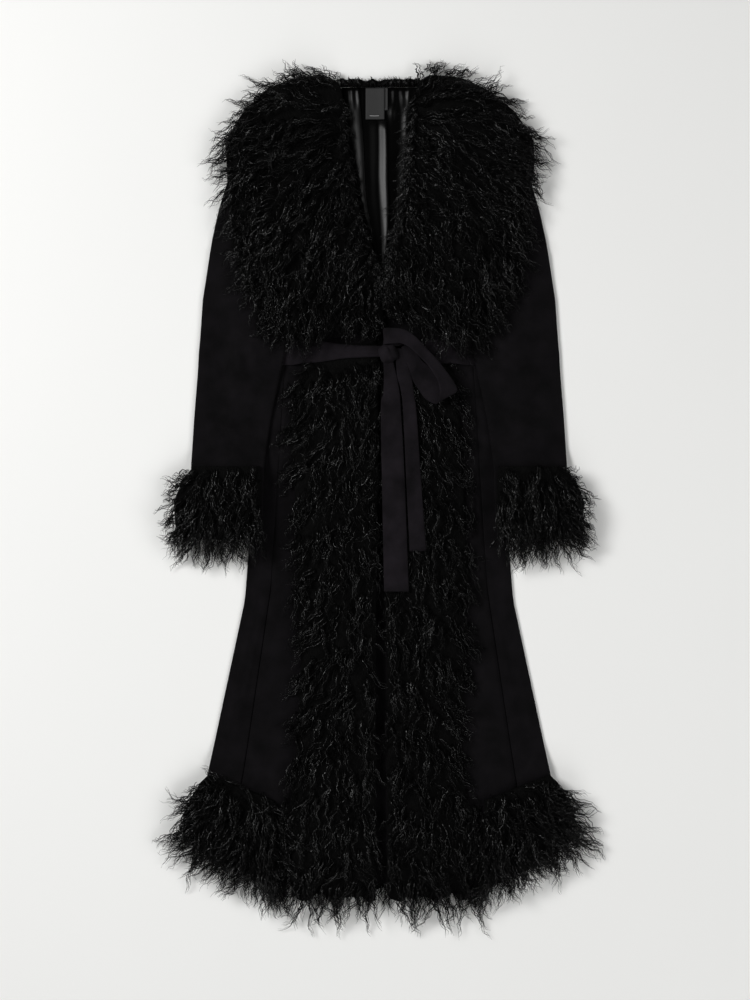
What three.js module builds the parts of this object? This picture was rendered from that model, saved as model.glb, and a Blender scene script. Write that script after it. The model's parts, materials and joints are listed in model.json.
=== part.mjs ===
// Belted coat of black wool with long curly fur trim, laid flat on its back. Millimetres, +Z up.
// +Y runs towards the collar and +X to the viewer's right. Heights are measured from the surface under it.
// "left" and "right" are the sides as seen from above.
import * as THREE from 'three';

// Cloth
const wool = 2.2; // thickness of the coating
const satin = 1.2; // thickness of the lining
const seam = 0.3; // gap between pieces that are sewn together
const rest = 0.4; // gap between pieces that lie on each other
const onFronts = 2 * wool + 2 * rest; // from the back's underside to what lies on the front panels

// Belt
const beltWidth = 36;
const beltThickness = 2.6; // two layers of the coating, pressed
const beltY = 222; // middle of the belt, at the waist

// Fur
const backFur = 7.2; // fur pressed flat under the coat
const bandFur = 20; // fur of the front edges, at its fullest
const hemFur = 22;
const cuffFur = 21;
const collarFur = 27;
const tipFur = 5; // thickness at the lock tips
const longLock = 84; // how far the lowest locks of the front bands hang past the hem
const shortLock = 66;

// Lengths along Y
const neckY = 621; // back neckline
const frontNeckY = 606; // where the front panels start
const hemY = -572; // hem of the cloth at the middle
const hemRise = 74; // how much higher the hem lies at the sides
const hemHalf = 285; // distance from the middle where it is that much higher
const hemBandY = -403; // top edge of the hem fur
const cuffSeamY = 54; // top edge of the cuff fur
const sleeveEndY = -22; // end of the sleeve cloth inside the cuff
const armpitY = 400;

const shoulderSlope = 0.34; // how fast the shoulders drop outside the neck
const shoulderStart = 56;
const neckLap = 4; // how far the fronts stay outside the open neck's edge

// Height of the underside of the back: it rises over the belt behind it and over the fur of the back hem
const groundRows = [
  { y: -700, z: backFur + rest },
  { y: -398, z: backFur + rest },
  { y: -360, z: 0 },
  { y: 186, z: 0 },
  { y: 201, z: beltThickness + rest },
  { y: 243, z: beltThickness + rest },
  { y: 258, z: 0 },
  { y: 700, z: 0 },
];

// Side edge of the body: flared skirt, waist, armhole and shoulder
const bodyRows = [
  { y: -700, half: 316 },
  { y: -396, half: 254 },
  { y: -148, half: 201 },
  { y: 20, half: 188 },
  { y: 186, half: 183 },
  { y: 201, half: 180 },
  { y: 243, half: 180 },
  { y: 330, half: 205 },
  { y: 372, half: 210 },
  { y: 400, half: 172 },
  { y: 450, half: 152 },
  { y: 572, half: 164 },
  { y: 700, half: 164 },
];

// Seam between a front panel and its side panel, as a distance from the middle
const panelSeamRows = [
  { y: -700, x: 252 },
  { y: -400, x: 202 },
  { y: -130, x: 162 },
  { y: 222, x: 140 },
  { y: 400, x: 150 },
];

// The open neck: half its width on each side of its own middle line, down to where the fronts cross
const neckMiddleX = 4;
const neckRows = [
  { y: 344, half: 2 },
  { y: 380, half: 14.5 },
  { y: 413, half: 26 },
  { y: 452, half: 36.5 },
  { y: 488, half: 41 },
  { y: 551, half: 49 },
  { y: 620, half: 57 },
  { y: 700, half: 64 },
];
const frontGap = 7; // half the gap between the front edges below the neck
const frontMiddleX = 3;

// Outer and inner edge of a sleeve, as distances from the middle
const sleeveRows = [
  { y: 560, outer: 190, inner: 140 },
  { y: 512, outer: 217, inner: 133 },
  { y: 437, outer: 240, inner: 130 },
  { y: 392, outer: 250, inner: 128 },
  { y: 302, outer: 264, inner: 130 },
  { y: 258, outer: 267, inner: 134 },
  { y: 243, outer: 268, inner: 136 },
  { y: 222, outer: 270, inner: 141 },
  { y: 201, outer: 271, inner: 145 },
  { y: 186, outer: 272, inner: 149 },
  { y: 124, outer: 277, inner: 162 },
  { y: 76, outer: 280, inner: 169 },
  { y: 50, outer: 281, inner: 172 },
  { y: sleeveEndY, outer: 286, inner: 174 },
];

// Fur collar: from its inner edge on the neck opening to its outer edge over the shoulders
const collarRows = {
  left: [
    { innerX: -53, innerY: 620, outerX: -47, outerY: 636 },
    { innerX: -51, innerY: 608, outerX: -92, outerY: 650 },
    { innerX: -48, innerY: 593, outerX: -141, outerY: 640 },
    { innerX: -47, innerY: 575, outerX: -185, outerY: 620 },
    { innerX: -45, innerY: 551, outerX: -221, outerY: 582 },
    { innerX: -42, innerY: 524, outerX: -246, outerY: 539 },
    { innerX: -37, innerY: 488, outerX: -243, outerY: 494 },
    { innerX: -33, innerY: 452, outerX: -242, outerY: 449 },
    { innerX: -22, innerY: 413, outerX: -236, outerY: 398 },
    { innerX: -10, innerY: 380, outerX: -226, outerY: 344 },
    { innerX: 3, innerY: 344, outerX: -208, outerY: 305 },
    { innerX: 4, innerY: 308, outerX: -184, outerY: 266 },
    { innerX: 4, innerY: 275, outerX: -148, outerY: 240 },
    { innerX: 2, innerY: 250, outerX: -84, outerY: 240 },
  ],
  right: [
    { innerX: 61, innerY: 620, outerX: 60, outerY: 636 },
    { innerX: 59.5, innerY: 608, outerX: 90, outerY: 650 },
    { innerX: 57, innerY: 593, outerX: 136, outerY: 641 },
    { innerX: 56, innerY: 575, outerX: 178, outerY: 620 },
    { innerX: 53, innerY: 551, outerX: 219, outerY: 585 },
    { innerX: 50, innerY: 524, outerX: 247, outerY: 541 },
    { innerX: 45, innerY: 488, outerX: 248, outerY: 494 },
    { innerX: 40, innerY: 452, outerX: 241, outerY: 446 },
    { innerX: 30, innerY: 413, outerX: 234, outerY: 398 },
    { innerX: 18, innerY: 380, outerX: 230, outerY: 352 },
    { innerX: 7, innerY: 344, outerX: 213, outerY: 305 },
    { innerX: 8, innerY: 312, outerX: 189, outerY: 262 },
    { innerX: 9, innerY: 288, outerX: 156, outerY: 228 },
    { innerX: 16, innerY: 270, outerX: 122, outerY: 262 },
  ],
};

// Fur bands down the front edges
const bandRows = {
  left: [
    { y: 236, inner: -1, outer: -106 },
    { y: 201, inner: -1, outer: -106 },
    { y: 186, inner: -1, outer: -122 },
    { y: 150, inner: -1, outer: -140 },
    { y: 104, inner: -1, outer: -149 },
    { y: 32, inner: -2, outer: -144 },
    { y: -98, inner: -4, outer: -139 },
    { y: -248, inner: -5, outer: -131 },
    { y: -347, inner: -5, outer: -138 },
    { y: -440, inner: -5, outer: -147 },
    { y: -560, inner: -5, outer: -148 },
  ],
  right: [
    { y: 236, inner: 3, outer: 106 },
    { y: 201, inner: 3, outer: 106 },
    { y: 186, inner: 3, outer: 118 },
    { y: 150, inner: 3, outer: 130 },
    { y: 104, inner: 4, outer: 137 },
    { y: 32, inner: 5, outer: 142 },
    { y: -98, inner: 9, outer: 150 },
    { y: -248, inner: 12, outer: 146 },
    { y: -347, inner: 12, outer: 134 },
    { y: -440, inner: 12, outer: 146 },
    { y: -560, inner: 12, outer: 148 },
  ],
};
const bandTrough = 5; // thickness of a band where the belt presses it down
const hemInset = 10; // gap between a band's outer edge and the hem fur

// Hanging ends of the belt: middle line and width
const longEndRows = [
  { y: 203, x: 14, width: 22 },
  { y: 142, x: 17, width: 28 },
  { y: 40, x: 21, width: 33 },
  { y: -134, x: 26, width: 36 },
];
const shortEndRows = [
  { y: 196, x: 39, width: 16 },
  { y: 142, x: 44, width: 18 },
  { y: 40, x: 51, width: 21 },
  { y: -74, x: 58, width: 24 },
];

// Half bow: one ribbon that leaves the knot, folds back at the tip and returns below itself
const bowRows = [
  { x: 40, y: 238, z: 34, half: 15 },
  { x: 56, y: 226, z: 39, half: 17 },
  { x: 78, y: 204, z: 41, half: 18 },
  { x: 98, y: 180, z: 39.5, half: 18 },
  { x: 105, y: 171, z: 37.5, half: 18 },
  { x: 108, y: 167, z: 34.5, half: 18 },
  { x: 105, y: 168, z: 31.6, half: 18 },
  { x: 96, y: 171, z: 30.2, half: 18 },
  { x: 76, y: 182, z: 29.8, half: 18 },
  { x: 58, y: 196, z: 29.8, half: 16 },
  { x: 46, y: 212, z: 29.8, half: 13 },
];

const finishes = {
  wool: { color: 0x121012, roughness: 0.9, metalness: 0 },
  fur: { color: 0x0a0909, roughness: 0.7, metalness: 0 },
  satin: { color: 0x1c1b1d, roughness: 0.35, metalness: 0 },
  belt: { color: 0x1b191a, roughness: 0.85, metalness: 0 },
  label: { color: 0x323232, roughness: 0.8, metalness: 0 },
};

const coat = new THREE.Group();
coat.name = 'belted_coat';

const mix = (a, b, share) => a + (b - a) * share;
const clamp = (value, low, high) => Math.min(high, Math.max(low, value));
const ramp = (value, from, to) => clamp((value - from) / (to - from), 0, 1);

// Reads one named column of a table against another, its key, in straight lines
function read(rows, column, value, key = 'y') {
  const upwards = rows[0][key] < rows[rows.length - 1][key];
  const sorted = upwards ? rows : [...rows].reverse();
  const last = sorted.length - 1;
  if (value <= sorted[0][key]) return sorted[0][column];
  if (value >= sorted[last][key]) return sorted[last][column];
  const next = sorted.findIndex((row) => row[key] > value);
  const from = sorted[next - 1];
  const to = sorted[next];
  return mix(from[column], to[column], (value - from[key]) / (to[key] - from[key]));
}

// Reads one named column of a table at a share of its rows, in straight lines
function readShare(rows, column, share) {
  const place = share * (rows.length - 1);
  const from = Math.min(Math.floor(place), rows.length - 2);
  return mix(rows[from][column], rows[from + 1][column], place - from);
}

const ground = (y) => read(groundRows, 'z', y);
const bodyHalf = (y) => read(bodyRows, 'half', y);
const frontUnder = (y) => ground(y) + wool + rest;
const frontTop = (y) => frontUnder(y) + wool;

function addMesh(name, finish, points, faces) {
  const geometry = new THREE.BufferGeometry();
  geometry.setAttribute('position', new THREE.Float32BufferAttribute(points.flat(), 3));
  geometry.setIndex(faces.flat());
  geometry.computeVertexNormals();
  const mesh = new THREE.Mesh(geometry, new THREE.MeshStandardMaterial(finishes[finish]));
  mesh.name = name;
  coat.add(mesh);
}

// A closed wall on a grid of shares (u, v): place gives the point on the plan, under and top its two heights
function addWall(name, finish, uShares, vShares, place, under, top) {
  const across = uShares.length;
  const points = [];
  for (const height of [under, top]) {
    for (const v of vShares) {
      for (const u of uShares) {
        const [x, y] = place(u, v);
        points.push([x, y, height(x, y, u, v)]);
      }
    }
  }
  const layer = across * vShares.length;
  const [ux, uy] = place(0.55, 0.5);
  const [vx, vy] = place(0.5, 0.55);
  const [ox, oy] = place(0.5, 0.5);
  const turned = (ux - ox) * (vy - oy) - (uy - oy) * (vx - ox) < 0;
  const faces = [];
  const addQuad = (a, b, c, d) => faces.push(...(turned ? [[a, c, b], [a, d, c]] : [[a, b, c], [a, c, d]]));
  for (let row = 0; row < vShares.length - 1; row += 1) {
    for (let column = 0; column < across - 1; column += 1) {
      const a = row * across + column;
      addQuad(a, a + across, a + across + 1, a + 1);
      addQuad(layer + a, layer + a + 1, layer + a + across + 1, layer + a + across);
    }
  }
  const lastRow = (vShares.length - 1) * across;
  for (let column = 0; column < across - 1; column += 1) {
    addQuad(column, column + 1, layer + column + 1, layer + column);
    const a = lastRow + column;
    addQuad(a + 1, a, layer + a, layer + a + 1);
  }
  for (let row = 0; row < vShares.length - 1; row += 1) {
    const a = row * across;
    addQuad(a + across, a, layer + a, layer + a + across);
    const b = a + across - 1;
    addQuad(b, b + across, layer + b + across, layer + b);
  }
  addMesh(name, finish, points, faces);
}

// A flat ribbon through sections: each has its middle, the direction of its width and half that width
function addRibbon(name, finish, sections, thickness) {
  const points = [];
  sections.forEach(({ middle, widthDirection, half }, index) => {
    const before = sections[Math.max(index - 1, 0)].middle;
    const after = sections[Math.min(index + 1, sections.length - 1)].middle;
    const along = after.clone().sub(before).normalize();
    const side = widthDirection.clone().addScaledVector(along, -widthDirection.dot(along)).normalize();
    const up = new THREE.Vector3().crossVectors(side, along).multiplyScalar(thickness / 2);
    side.multiplyScalar(half);
    for (const [s, t] of [[-1, -1], [1, -1], [1, 1], [-1, 1]]) {
      points.push(middle.clone().addScaledVector(side, s).addScaledVector(up, t).toArray());
    }
  });
  const faces = [[0, 1, 2], [0, 2, 3]];
  for (let index = 0; index < sections.length - 1; index += 1) {
    for (let corner = 0; corner < 4; corner += 1) {
      const a = index * 4 + corner;
      const b = index * 4 + ((corner + 1) % 4);
      faces.push([a, a + 4, b + 4], [a, b + 4, b]);
    }
  }
  const end = (sections.length - 1) * 4;
  faces.push([end, end + 2, end + 1], [end, end + 3, end + 2]);
  addMesh(name, finish, points, faces);
}

const shares = (count) => Array.from({ length: count + 1 }, (_, index) => index / count);

// Shares of a run of heights y, from the first to the last
const sharesOf = (heights) => heights.map((y) => (y - heights[0]) / (heights[heights.length - 1] - heights[0]));

// Fixed uneven numbers between 0 and 1
const uneven = (number) => {
  const value = Math.sin(number * 12.9898) * 43758.5453;
  return value - Math.floor(value);
};

// How far a lock tip stands out at a share along a jagged edge: a tip at each odd sample, a notch at each even one
function lockTip(share, locks, seed, notch, tip) {
  const sample = Math.round(share * locks * 2);
  const isTip = sample % 2 === 1;
  return isTip ? mix(tip * 0.45, tip, uneven(sample + seed)) : -notch * mix(0.3, 1, uneven(sample + seed));
}

// Rows that every body panel shares, from the hem upwards, so that their layers stay parallel
const panelRows = [hemY, -500, -430, -398, -360, -300, -230, -150, -60, 30, 110, 186, 201, 243, 258, 330, 372];
const upperRows = [400, 450, 500, 545];

// The cloth's hem curves up to the sides, and its top slopes down to the shoulders
function bend(x, y, topY) {
  const hemShare = ramp(-y, 430, -hemY);
  const shoulderShare = ramp(y, 500, topY);
  const drop = shoulderSlope * Math.max(0, Math.abs(x) - shoulderStart) * shoulderShare;
  return y + hemRise * hemShare * (x / hemHalf) ** 2 - drop;
}

// Soft fold of a skirt side: one long low ridge between the panel seam and the side edge, from cuff to hem fur
function skirtFold(u, y) {
  return 3 * Math.sin(Math.PI * u) ** 1.4 * ramp(y, -385, -300) * ramp(-y, 120, 215);
}

function addBack() {
  const rows = [...panelRows, ...upperRows, neckY];
  const rowShares = sharesOf(rows);
  const place = (u, v) => {
    const y = mix(hemY, neckY, v);
    const x = mix(-1, 1, u) * bodyHalf(y);
    return [x, bend(x, y, neckY)];
  };
  const under = (x, y, u, v) => ground(mix(hemY, neckY, v));
  addWall('back', 'wool', shares(8), rowShares, place, under, (x, y, u, v) => under(x, y, u, v) + wool);
}

// Inner edge of a front panel: the front edge below, the neck opening above
function frontEdge(side, y) {
  const below = frontMiddleX + side * frontGap;
  const open = neckMiddleX + side * (read(neckRows, 'half', y) + neckLap);
  return side > 0 ? Math.max(below, open) : Math.min(below, open);
}

function addFront(name, side) {
  const rows = [...panelRows, ...upperRows, frontNeckY];
  const height = (v) => mix(hemY, frontNeckY, v);
  const place = (u, v) => {
    const y = height(v);
    const outer = y >= armpitY ? bodyHalf(y) : read(panelSeamRows, 'x', y) - seam;
    const x = mix(frontEdge(side, y), side * outer, u);
    return [x, bend(x, y, frontNeckY)];
  };
  const under = (x, y, u, v) => frontUnder(height(v));
  addWall(name, 'wool', shares(6), sharesOf(rows), place, under, (x, y, u, v) => under(x, y, u, v) + wool);
}

function addSide(name, side) {
  const height = (v) => mix(hemY, panelRows[panelRows.length - 1], v);
  const place = (u, v) => {
    const y = height(v);
    const x = side * mix(read(panelSeamRows, 'x', y) + seam, bodyHalf(y), u);
    return [x, bend(x, y, frontNeckY)];
  };
  const under = (x, y, u, v) => frontUnder(height(v)) + skirtFold(u, height(v));
  addWall(name, 'wool', shares(5), sharesOf(panelRows), place, under, (x, y, u, v) => under(x, y, u, v) + wool);
}

// Height of what a sleeve lies on: the surface outside, the body's edge and the belt inside
function sleeveGround(x, y) {
  const offEdge = Math.abs(x) - bodyHalf(y);
  const bodyHeight = ground(clamp(y, -350, 700)) + onFronts;
  const beltHeight = (beltThickness + rest) * ramp(y, 186, 201) * ramp(-y, -258, -243);
  return (bodyHeight + beltHeight) * ramp(-offEdge, -54, -26);
}

const cuffLift = (y) => (backFur + rest) * ramp(-y, -80, -56); // the cuff's own fur lies under the sleeve end
const sleeveHollow = (u) => seam + 2.5 * Math.sin(Math.PI * u) ** 0.6;

// Slanting creases of the upper sleeve wall, below the collar and above the cuff
function sleeveCrease(x, y) {
  const open = ramp(-y, -225, -150) * ramp(y, 62, 100);
  const slant = y + 0.75 * (Math.abs(x) - 225);
  const ridge = Math.exp(-(((slant - 150) / 13) ** 2)) + 0.7 * Math.exp(-(((slant - 96) / 10) ** 2));
  const across = 1 - (Math.abs(Math.abs(x) - 222) / 62) ** 2;
  return 2.4 * open * ridge * Math.max(0, across);
}

const sleeveSamples = [560, 512, 437, 392, 345, 302, 258, 243, 201, 186, 150, 124, 100, 80, 56, sleeveEndY];

function addSleeve(name, side) {
  const rows = sharesOf(sleeveSamples);
  const height = (v) => mix(sleeveSamples[0], sleeveEndY, v);
  const place = (u, v) => {
    const y = height(v);
    return [side * mix(read(sleeveRows, 'inner', y), read(sleeveRows, 'outer', y), u), y];
  };
  const underWall = (x, y) => sleeveGround(x, y) + cuffLift(y);
  const topWall = (x, y, u) => underWall(x, y) + wool + sleeveHollow(u) + sleeveCrease(x, y);
  addWall(`${name}_under`, 'wool', shares(6), rows, place, underWall, (x, y) => underWall(x, y) + wool);
  addWall(`${name}_top`, 'wool', shares(6), rows, place, topWall, (x, y, u) => topWall(x, y, u) + wool);
}

// The satin back lining in the open neck, gathered at the neckline and falling in soft folds
const liningFolds = [
  { x: -0.72, width: 0.1, height: 4.2 },
  { x: -0.45, width: 0.07, height: 3.4 },
  { x: 0.02, width: 0.12, height: 5 },
  { x: 0.44, width: 0.09, height: 3.6 },
  { x: 0.74, width: 0.08, height: 4.4 },
];
const labelSize = { left: -20, right: 5, bottom: 575, top: 619 };
const liningUnder = wool + rest;

function liningFold(u, y) {
  const across = mix(-1, 1, u);
  const ridges = liningFolds.map(({ x, width, height }) => height * Math.exp(-(((across - x) / width) ** 2)));
  const edge = ramp(1 - Math.abs(across), 0.12, 0.28);
  const calm = 1 - 0.8 * ramp(y, labelSize.bottom - 22, labelSize.bottom - 4);
  return ridges.reduce((sum, ridge) => sum + ridge, 0) * edge * calm * ramp(y, 368, 420);
}

function addLining() {
  const bottomY = 348;
  const height = (v) => mix(bottomY, neckY - 1, v);
  const place = (u, v) => {
    const y = height(v);
    return [neckMiddleX + mix(-1, 1, u) * (read(neckRows, 'half', y) + 3), y];
  };
  const under = (x, y, u, v) => liningUnder + liningFold(u, height(v));
  addWall('back_lining', 'satin', shares(22), shares(10), place, under, (x, y, u, v) => under(x, y, u, v) + satin);
}

function addLabel() {
  const { left, right, bottom, top } = labelSize;
  const place = (u, v) => [mix(left, right, u), mix(bottom, top, v)];
  const z = liningUnder + satin + 1.4 + seam;
  addWall('neck_label', 'label', shares(2), shares(3), place, () => z, () => z + 0.8);
}

// A short strap doubled over at the middle of the neckline
function addHangingLoop() {
  const z = liningUnder + satin + 2.6;
  const middle = -9;
  const sections = shares(8).map((share) => {
    const turn = Math.PI * share;
    const x = middle - 3.3 * Math.cos(turn);
    const y = neckY + 0.6 + 10 * Math.sin(turn);
    return { middle: new THREE.Vector3(x, y, z), widthDirection: new THREE.Vector3(0, 0, 1), half: 1.2 };
  });
  addRibbon('hanging_loop', 'satin', sections, 2.8);
}

// Underside of the collar: on the fronts near the neck, over the sleeve heads outside, over the belt below
function collarUnder(x, y) {
  const overSleeve = 8.2 * ramp(Math.abs(x), 75, 108);
  const overBelt = 5.6 * ramp(-y, -292, -266);
  const overBand = 6.4 * ramp(-y, -292, -266);
  return onFronts + Math.max(overSleeve, overBand) + overBelt;
}

function addCollar(name, rows, seed) {
  const locks = 25;
  const place = (u, v) => {
    const innerX = readShare(rows, 'innerX', v);
    const innerY = readShare(rows, 'innerY', v);
    const outerX = readShare(rows, 'outerX', v);
    const outerY = readShare(rows, 'outerY', v);
    const length = Math.hypot(outerX - innerX, outerY - innerY);
    const reach = v === 0 || v === 1 ? 0 : lockTip(v, locks, seed, 9, 11) * u ** 3;
    const sink = ramp(v, 0.2, 0.45) * Math.max(0, reach) * 0.7; // tips hang a little to the hem
    const share = u + reach / length;
    return [mix(innerX, outerX, share), mix(innerY, outerY, share) - sink];
  };
  const top = (x, y, u, v) => {
    const round = Math.sin(Math.PI * clamp(0.16 + 0.8 * u, 0, 1)) ** 0.7;
    const ends = 0.45 + 0.55 * Math.sqrt(Math.sin(Math.PI * clamp(v, 0.02, 0.98)));
    const relief = 1 + 0.16 * Math.sign(lockTip(v, locks, seed, 1, 1)) * ramp(u, 0.1, 0.6);
    return collarUnder(x, y) + tipFur + (collarFur - tipFur) * round * ends * relief;
  };
  addWall(name, 'fur', [0, 0.15, 0.36, 0.58, 0.78, 0.92, 1], shares(locks * 2), place, collarUnder, top);
}

// The collar's fur behind the neckline, pressed under the neck edge of the back
function addCollarBack() {
  const locks = 9;
  const left = -45.5; // just clear of the collar's two ends
  const right = 58;
  const place = (u, v) => [mix(left, right, u), neckY + 0.5 + v * (12 + lockTip(u, locks, 5, 3, 3))];
  const nearLoop = (x) => (Math.abs(x + 9) < 9 ? 0.25 : 1);
  const top = (x, y, u, v) => 2.6 + 7 * nearLoop(x) * Math.sin(Math.PI * (0.15 + 0.7 * v)) * Math.sin(Math.PI * u) ** 0.3;
  addWall('collar_back', 'fur', shares(locks * 2), shares(3), place, () => 0, (x, y, u, v) => Math.min(top(x, y, u, v), 9));
}

// Height of a band's top over its underside, at a share u across and a height y
function bandThickness(u, y) {
  const round = Math.sin(Math.PI * clamp(0.2 + 0.74 * u, 0, 1)) ** 0.6;
  const openEnd = 0.5 + 0.5 * ramp(y, -640, -560);
  const pressed = ramp(Math.abs(y - beltY), 22, 44);
  return mix(bandTrough, tipFur + (bandFur - tipFur) * round * openEnd, pressed);
}

const bandSamples = [236, 222, 201, 188, 170, 150, 128, 104, 80, 56, 32, 8, -18, -44, -70, -98, -124, -150, -176,
  -200, -224, -248, -272, -298, -322, -342, -360, -380, -398, -424, -448, -474, -500, -530, -560];

function addBand(name, side) {
  const rows = bandRows[side];
  const seed = side === 'left' ? 31 : 57;
  const locks = (bandSamples.length - 1) / 2;
  const vShares = bandSamples.map((_, index) => index / (bandSamples.length - 1));
  const uShares = [0, 0.14, 0.3, 0.46, 0.62, 0.78, 0.9, 1];
  const height = (v) => bandSamples[Math.round(v * (bandSamples.length - 1))];
  const place = (u, v) => {
    const y = height(v);
    const inner = read(rows, 'inner', y);
    const outer = read(rows, 'outer', y);
    const reach = v === 0 ? 0 : lockTip(v, locks, seed, 7, 9) * u ** 3;
    const column = uShares.findIndex((share) => share >= u);
    const endTip = column % 2 === 1 ? longLock : shortLock;
    const onSlope = Math.abs(y + 379) < 40; // the back rises over its own hem fur here
    const drop = endTip * ramp(-y, 440, 560) + (onSlope ? 0 : Math.max(0, reach) * 0.8);
    return [mix(inner, outer, u) + Math.sign(outer) * reach, y - drop];
  };
  const under = (x, y, u, v) => ground(height(v)) + onFronts;
  const top = (x, y, u, v) => under(x, y, u, v) + bandThickness(u, y);
  addWall(name, 'fur', uShares, vShares, place, under, top);
}

// Outer edge of the hem fur, at shares of its length from its top to the tips
const hemOuterRows = [
  { share: 0, x: 262 },
  { share: 0.08, x: 275 },
  { share: 0.2, x: 286 },
  { share: 0.4, x: 299 },
  { share: 0.6, x: 304 },
  { share: 0.82, x: 301 },
  { share: 1, x: 290 },
];
const hemOuter = (share) => read(hemOuterRows, 'x', share, 'share');

// Lower reach of the hem fur at a distance from the middle
const hemTipY = (x) => -634 + 118 * (Math.abs(x) / 306) ** 2.6;

function addHemFront(name, side) {
  const locks = 15;
  const seed = side > 0 ? 71 : 93;
  const place = (u, v) => {
    const inner = Math.abs(read(bandRows.left, 'outer', -440)) + hemInset;
    const edge = v === 0 || v === 1 ? 0 : lockTip(v, 4, seed, 5, 6) * u ** 4;
    const x = mix(inner, hemOuter(v), u) + edge;
    const topY = mix(hemBandY - 43, hemBandY - 2, u);
    const bottomY = hemTipY(x) - lockTip(u, locks, seed, 10, 14) * v ** 3;
    return [side * x, mix(topY, bottomY, v)];
  };
  const under = () => backFur + rest + onFronts;
  const top = (x, y, u, v) => {
    const round = Math.sin(Math.PI * clamp(0.14 + 0.78 * v, 0, 1)) ** 0.7;
    const sideRound = 0.4 + 0.6 * Math.sqrt(Math.max(0, 1 - u ** 4));
    const relief = 1 + 0.12 * Math.sign(lockTip(u, locks, seed, 1, 1));
    return under() + tipFur + (hemFur - tipFur) * round * sideRound * relief;
  };
  addWall(name, 'fur', shares(locks * 2), hemOuterRows.map(({ share }) => share), place, under, top);
}

function addHemBack() {
  const locks = 28;
  const place = (u, v) => {
    const x = mix(-1, 1, u) * (hemOuter(v) - 2);
    const bottomY = hemTipY(x) + 14 - lockTip(u, locks, 11, 10, 12) * v ** 2;
    return [x, mix(hemBandY, bottomY, v)];
  };
  const top = (x, y, u, v) => mix(backFur, tipFur, ramp(v, 0.85, 1));
  addWall('hem_back', 'fur', shares(locks * 2), [0, 0.2, 0.5, 0.85, 1], place, () => 0, top);
}

// Fur cuff: its edges at shares of its length, from the seam to the tips
const cuffRows = [
  { share: 0, outer: 288, inner: 172 },
  { share: 0.16, outer: 308, inner: 169 },
  { share: 0.36, outer: 321, inner: 167 },
  { share: 0.6, outer: 318, inner: 168 },
  { share: 1, outer: 300, inner: 184 },
];

function addCuff(name, side, layer) {
  const locks = 11;
  const seed = (side > 0 ? 120 : 140) + (layer === 'top' ? 0 : 7);
  const place = (u, v) => {
    const edge = v === 0 || v === 1 ? 0 : lockTip(v, 2, seed, 4, 4) * u ** 4;
    const x = mix(read(cuffRows, 'inner', v, 'share'), read(cuffRows, 'outer', v, 'share'), u) + edge;
    const endY = layer === 'top' ? -106 : -98;
    const bottomY = endY + 20 * (2 * u - 1) ** 4 - lockTip(u, locks, seed, 9, 11) * v ** 3;
    return [side * x, mix(cuffSeamY - 1, bottomY, v)];
  };
  const sleeveTop = backFur + 2 * wool + 2.8 + 3 * rest;
  const under = (x, y) => sleeveGround(x, y) + (layer === 'top' ? sleeveTop : 0);
  const top = (x, y, u, v) => {
    if (layer === 'under') return under(x, y) + mix(backFur - 2 * rest, tipFur, ramp(v, 0.8, 1));
    const round = Math.sin(Math.PI * clamp(0.16 + 0.76 * v, 0, 1)) ** 0.7;
    const across = 0.4 + 0.6 * Math.sqrt(Math.max(0, 1 - (2 * u - 1) ** 4));
    return under(x, y) + tipFur + (cuffFur - tipFur) * round * across;
  };
  const vShares = [0, 0.22, 0.48, 0.76, 1];
  addWall(name, 'fur', shares(locks * 2), vShares, place, under, top);
}

// The belt: behind the back, round each side and over the front to the knot
const beltLift = ground(beltY);
const beltOnFront = frontTop(beltY) + rest + beltThickness / 2;
const beltOnBand = beltLift + onFronts + bandTrough + rest + beltThickness / 2;

function addBeltBack() {
  const half = bodyHalf(beltY) - 4;
  const place = (u, v) => [mix(-half, half, u), beltY + mix(-1, 1, v) * (beltWidth / 2)];
  addWall('belt_back', 'belt', shares(8), shares(1), place, () => 0, () => beltThickness);
}

function addBeltFront(name, side, knotX) {
  const edge = bodyHalf(beltY);
  const bandEdge = Math.abs(read(bandRows[side > 0 ? 'right' : 'left'], 'outer', beltY));
  const route = [
    { x: knotX, z: beltOnBand },
    { x: mix(knotX, bandEdge, 0.35), z: beltOnBand },
    { x: mix(knotX, bandEdge, 0.7), z: beltOnBand },
    { x: bandEdge + 10, z: beltOnBand },
    { x: bandEdge + 18, z: mix(beltOnBand, beltOnFront, 0.5) },
    { x: bandEdge + 26, z: beltOnFront },
    { x: edge, z: beltOnFront },
    { x: edge + 4.8, z: beltOnFront - 1.6 },
    { x: edge + 6.2, z: mix(beltOnFront, beltThickness / 2, 0.5) },
    { x: edge + 4.8, z: beltThickness / 2 + 1.2 },
    { x: edge + 1, z: beltThickness / 2 },
    { x: edge - 3.6, z: beltThickness / 2 },
  ];
  const sections = route.map(({ x, z }) => ({
    middle: new THREE.Vector3(side * x, beltY, z),
    widthDirection: new THREE.Vector3(0, 1, 0),
    half: beltWidth / 2,
  }));
  addRibbon(name, 'belt', sections, beltThickness);
}

const knot = { x: 25, y: 226, z: 23.5, halfX: 12, halfY: 15, halfZ: 10 };

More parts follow.
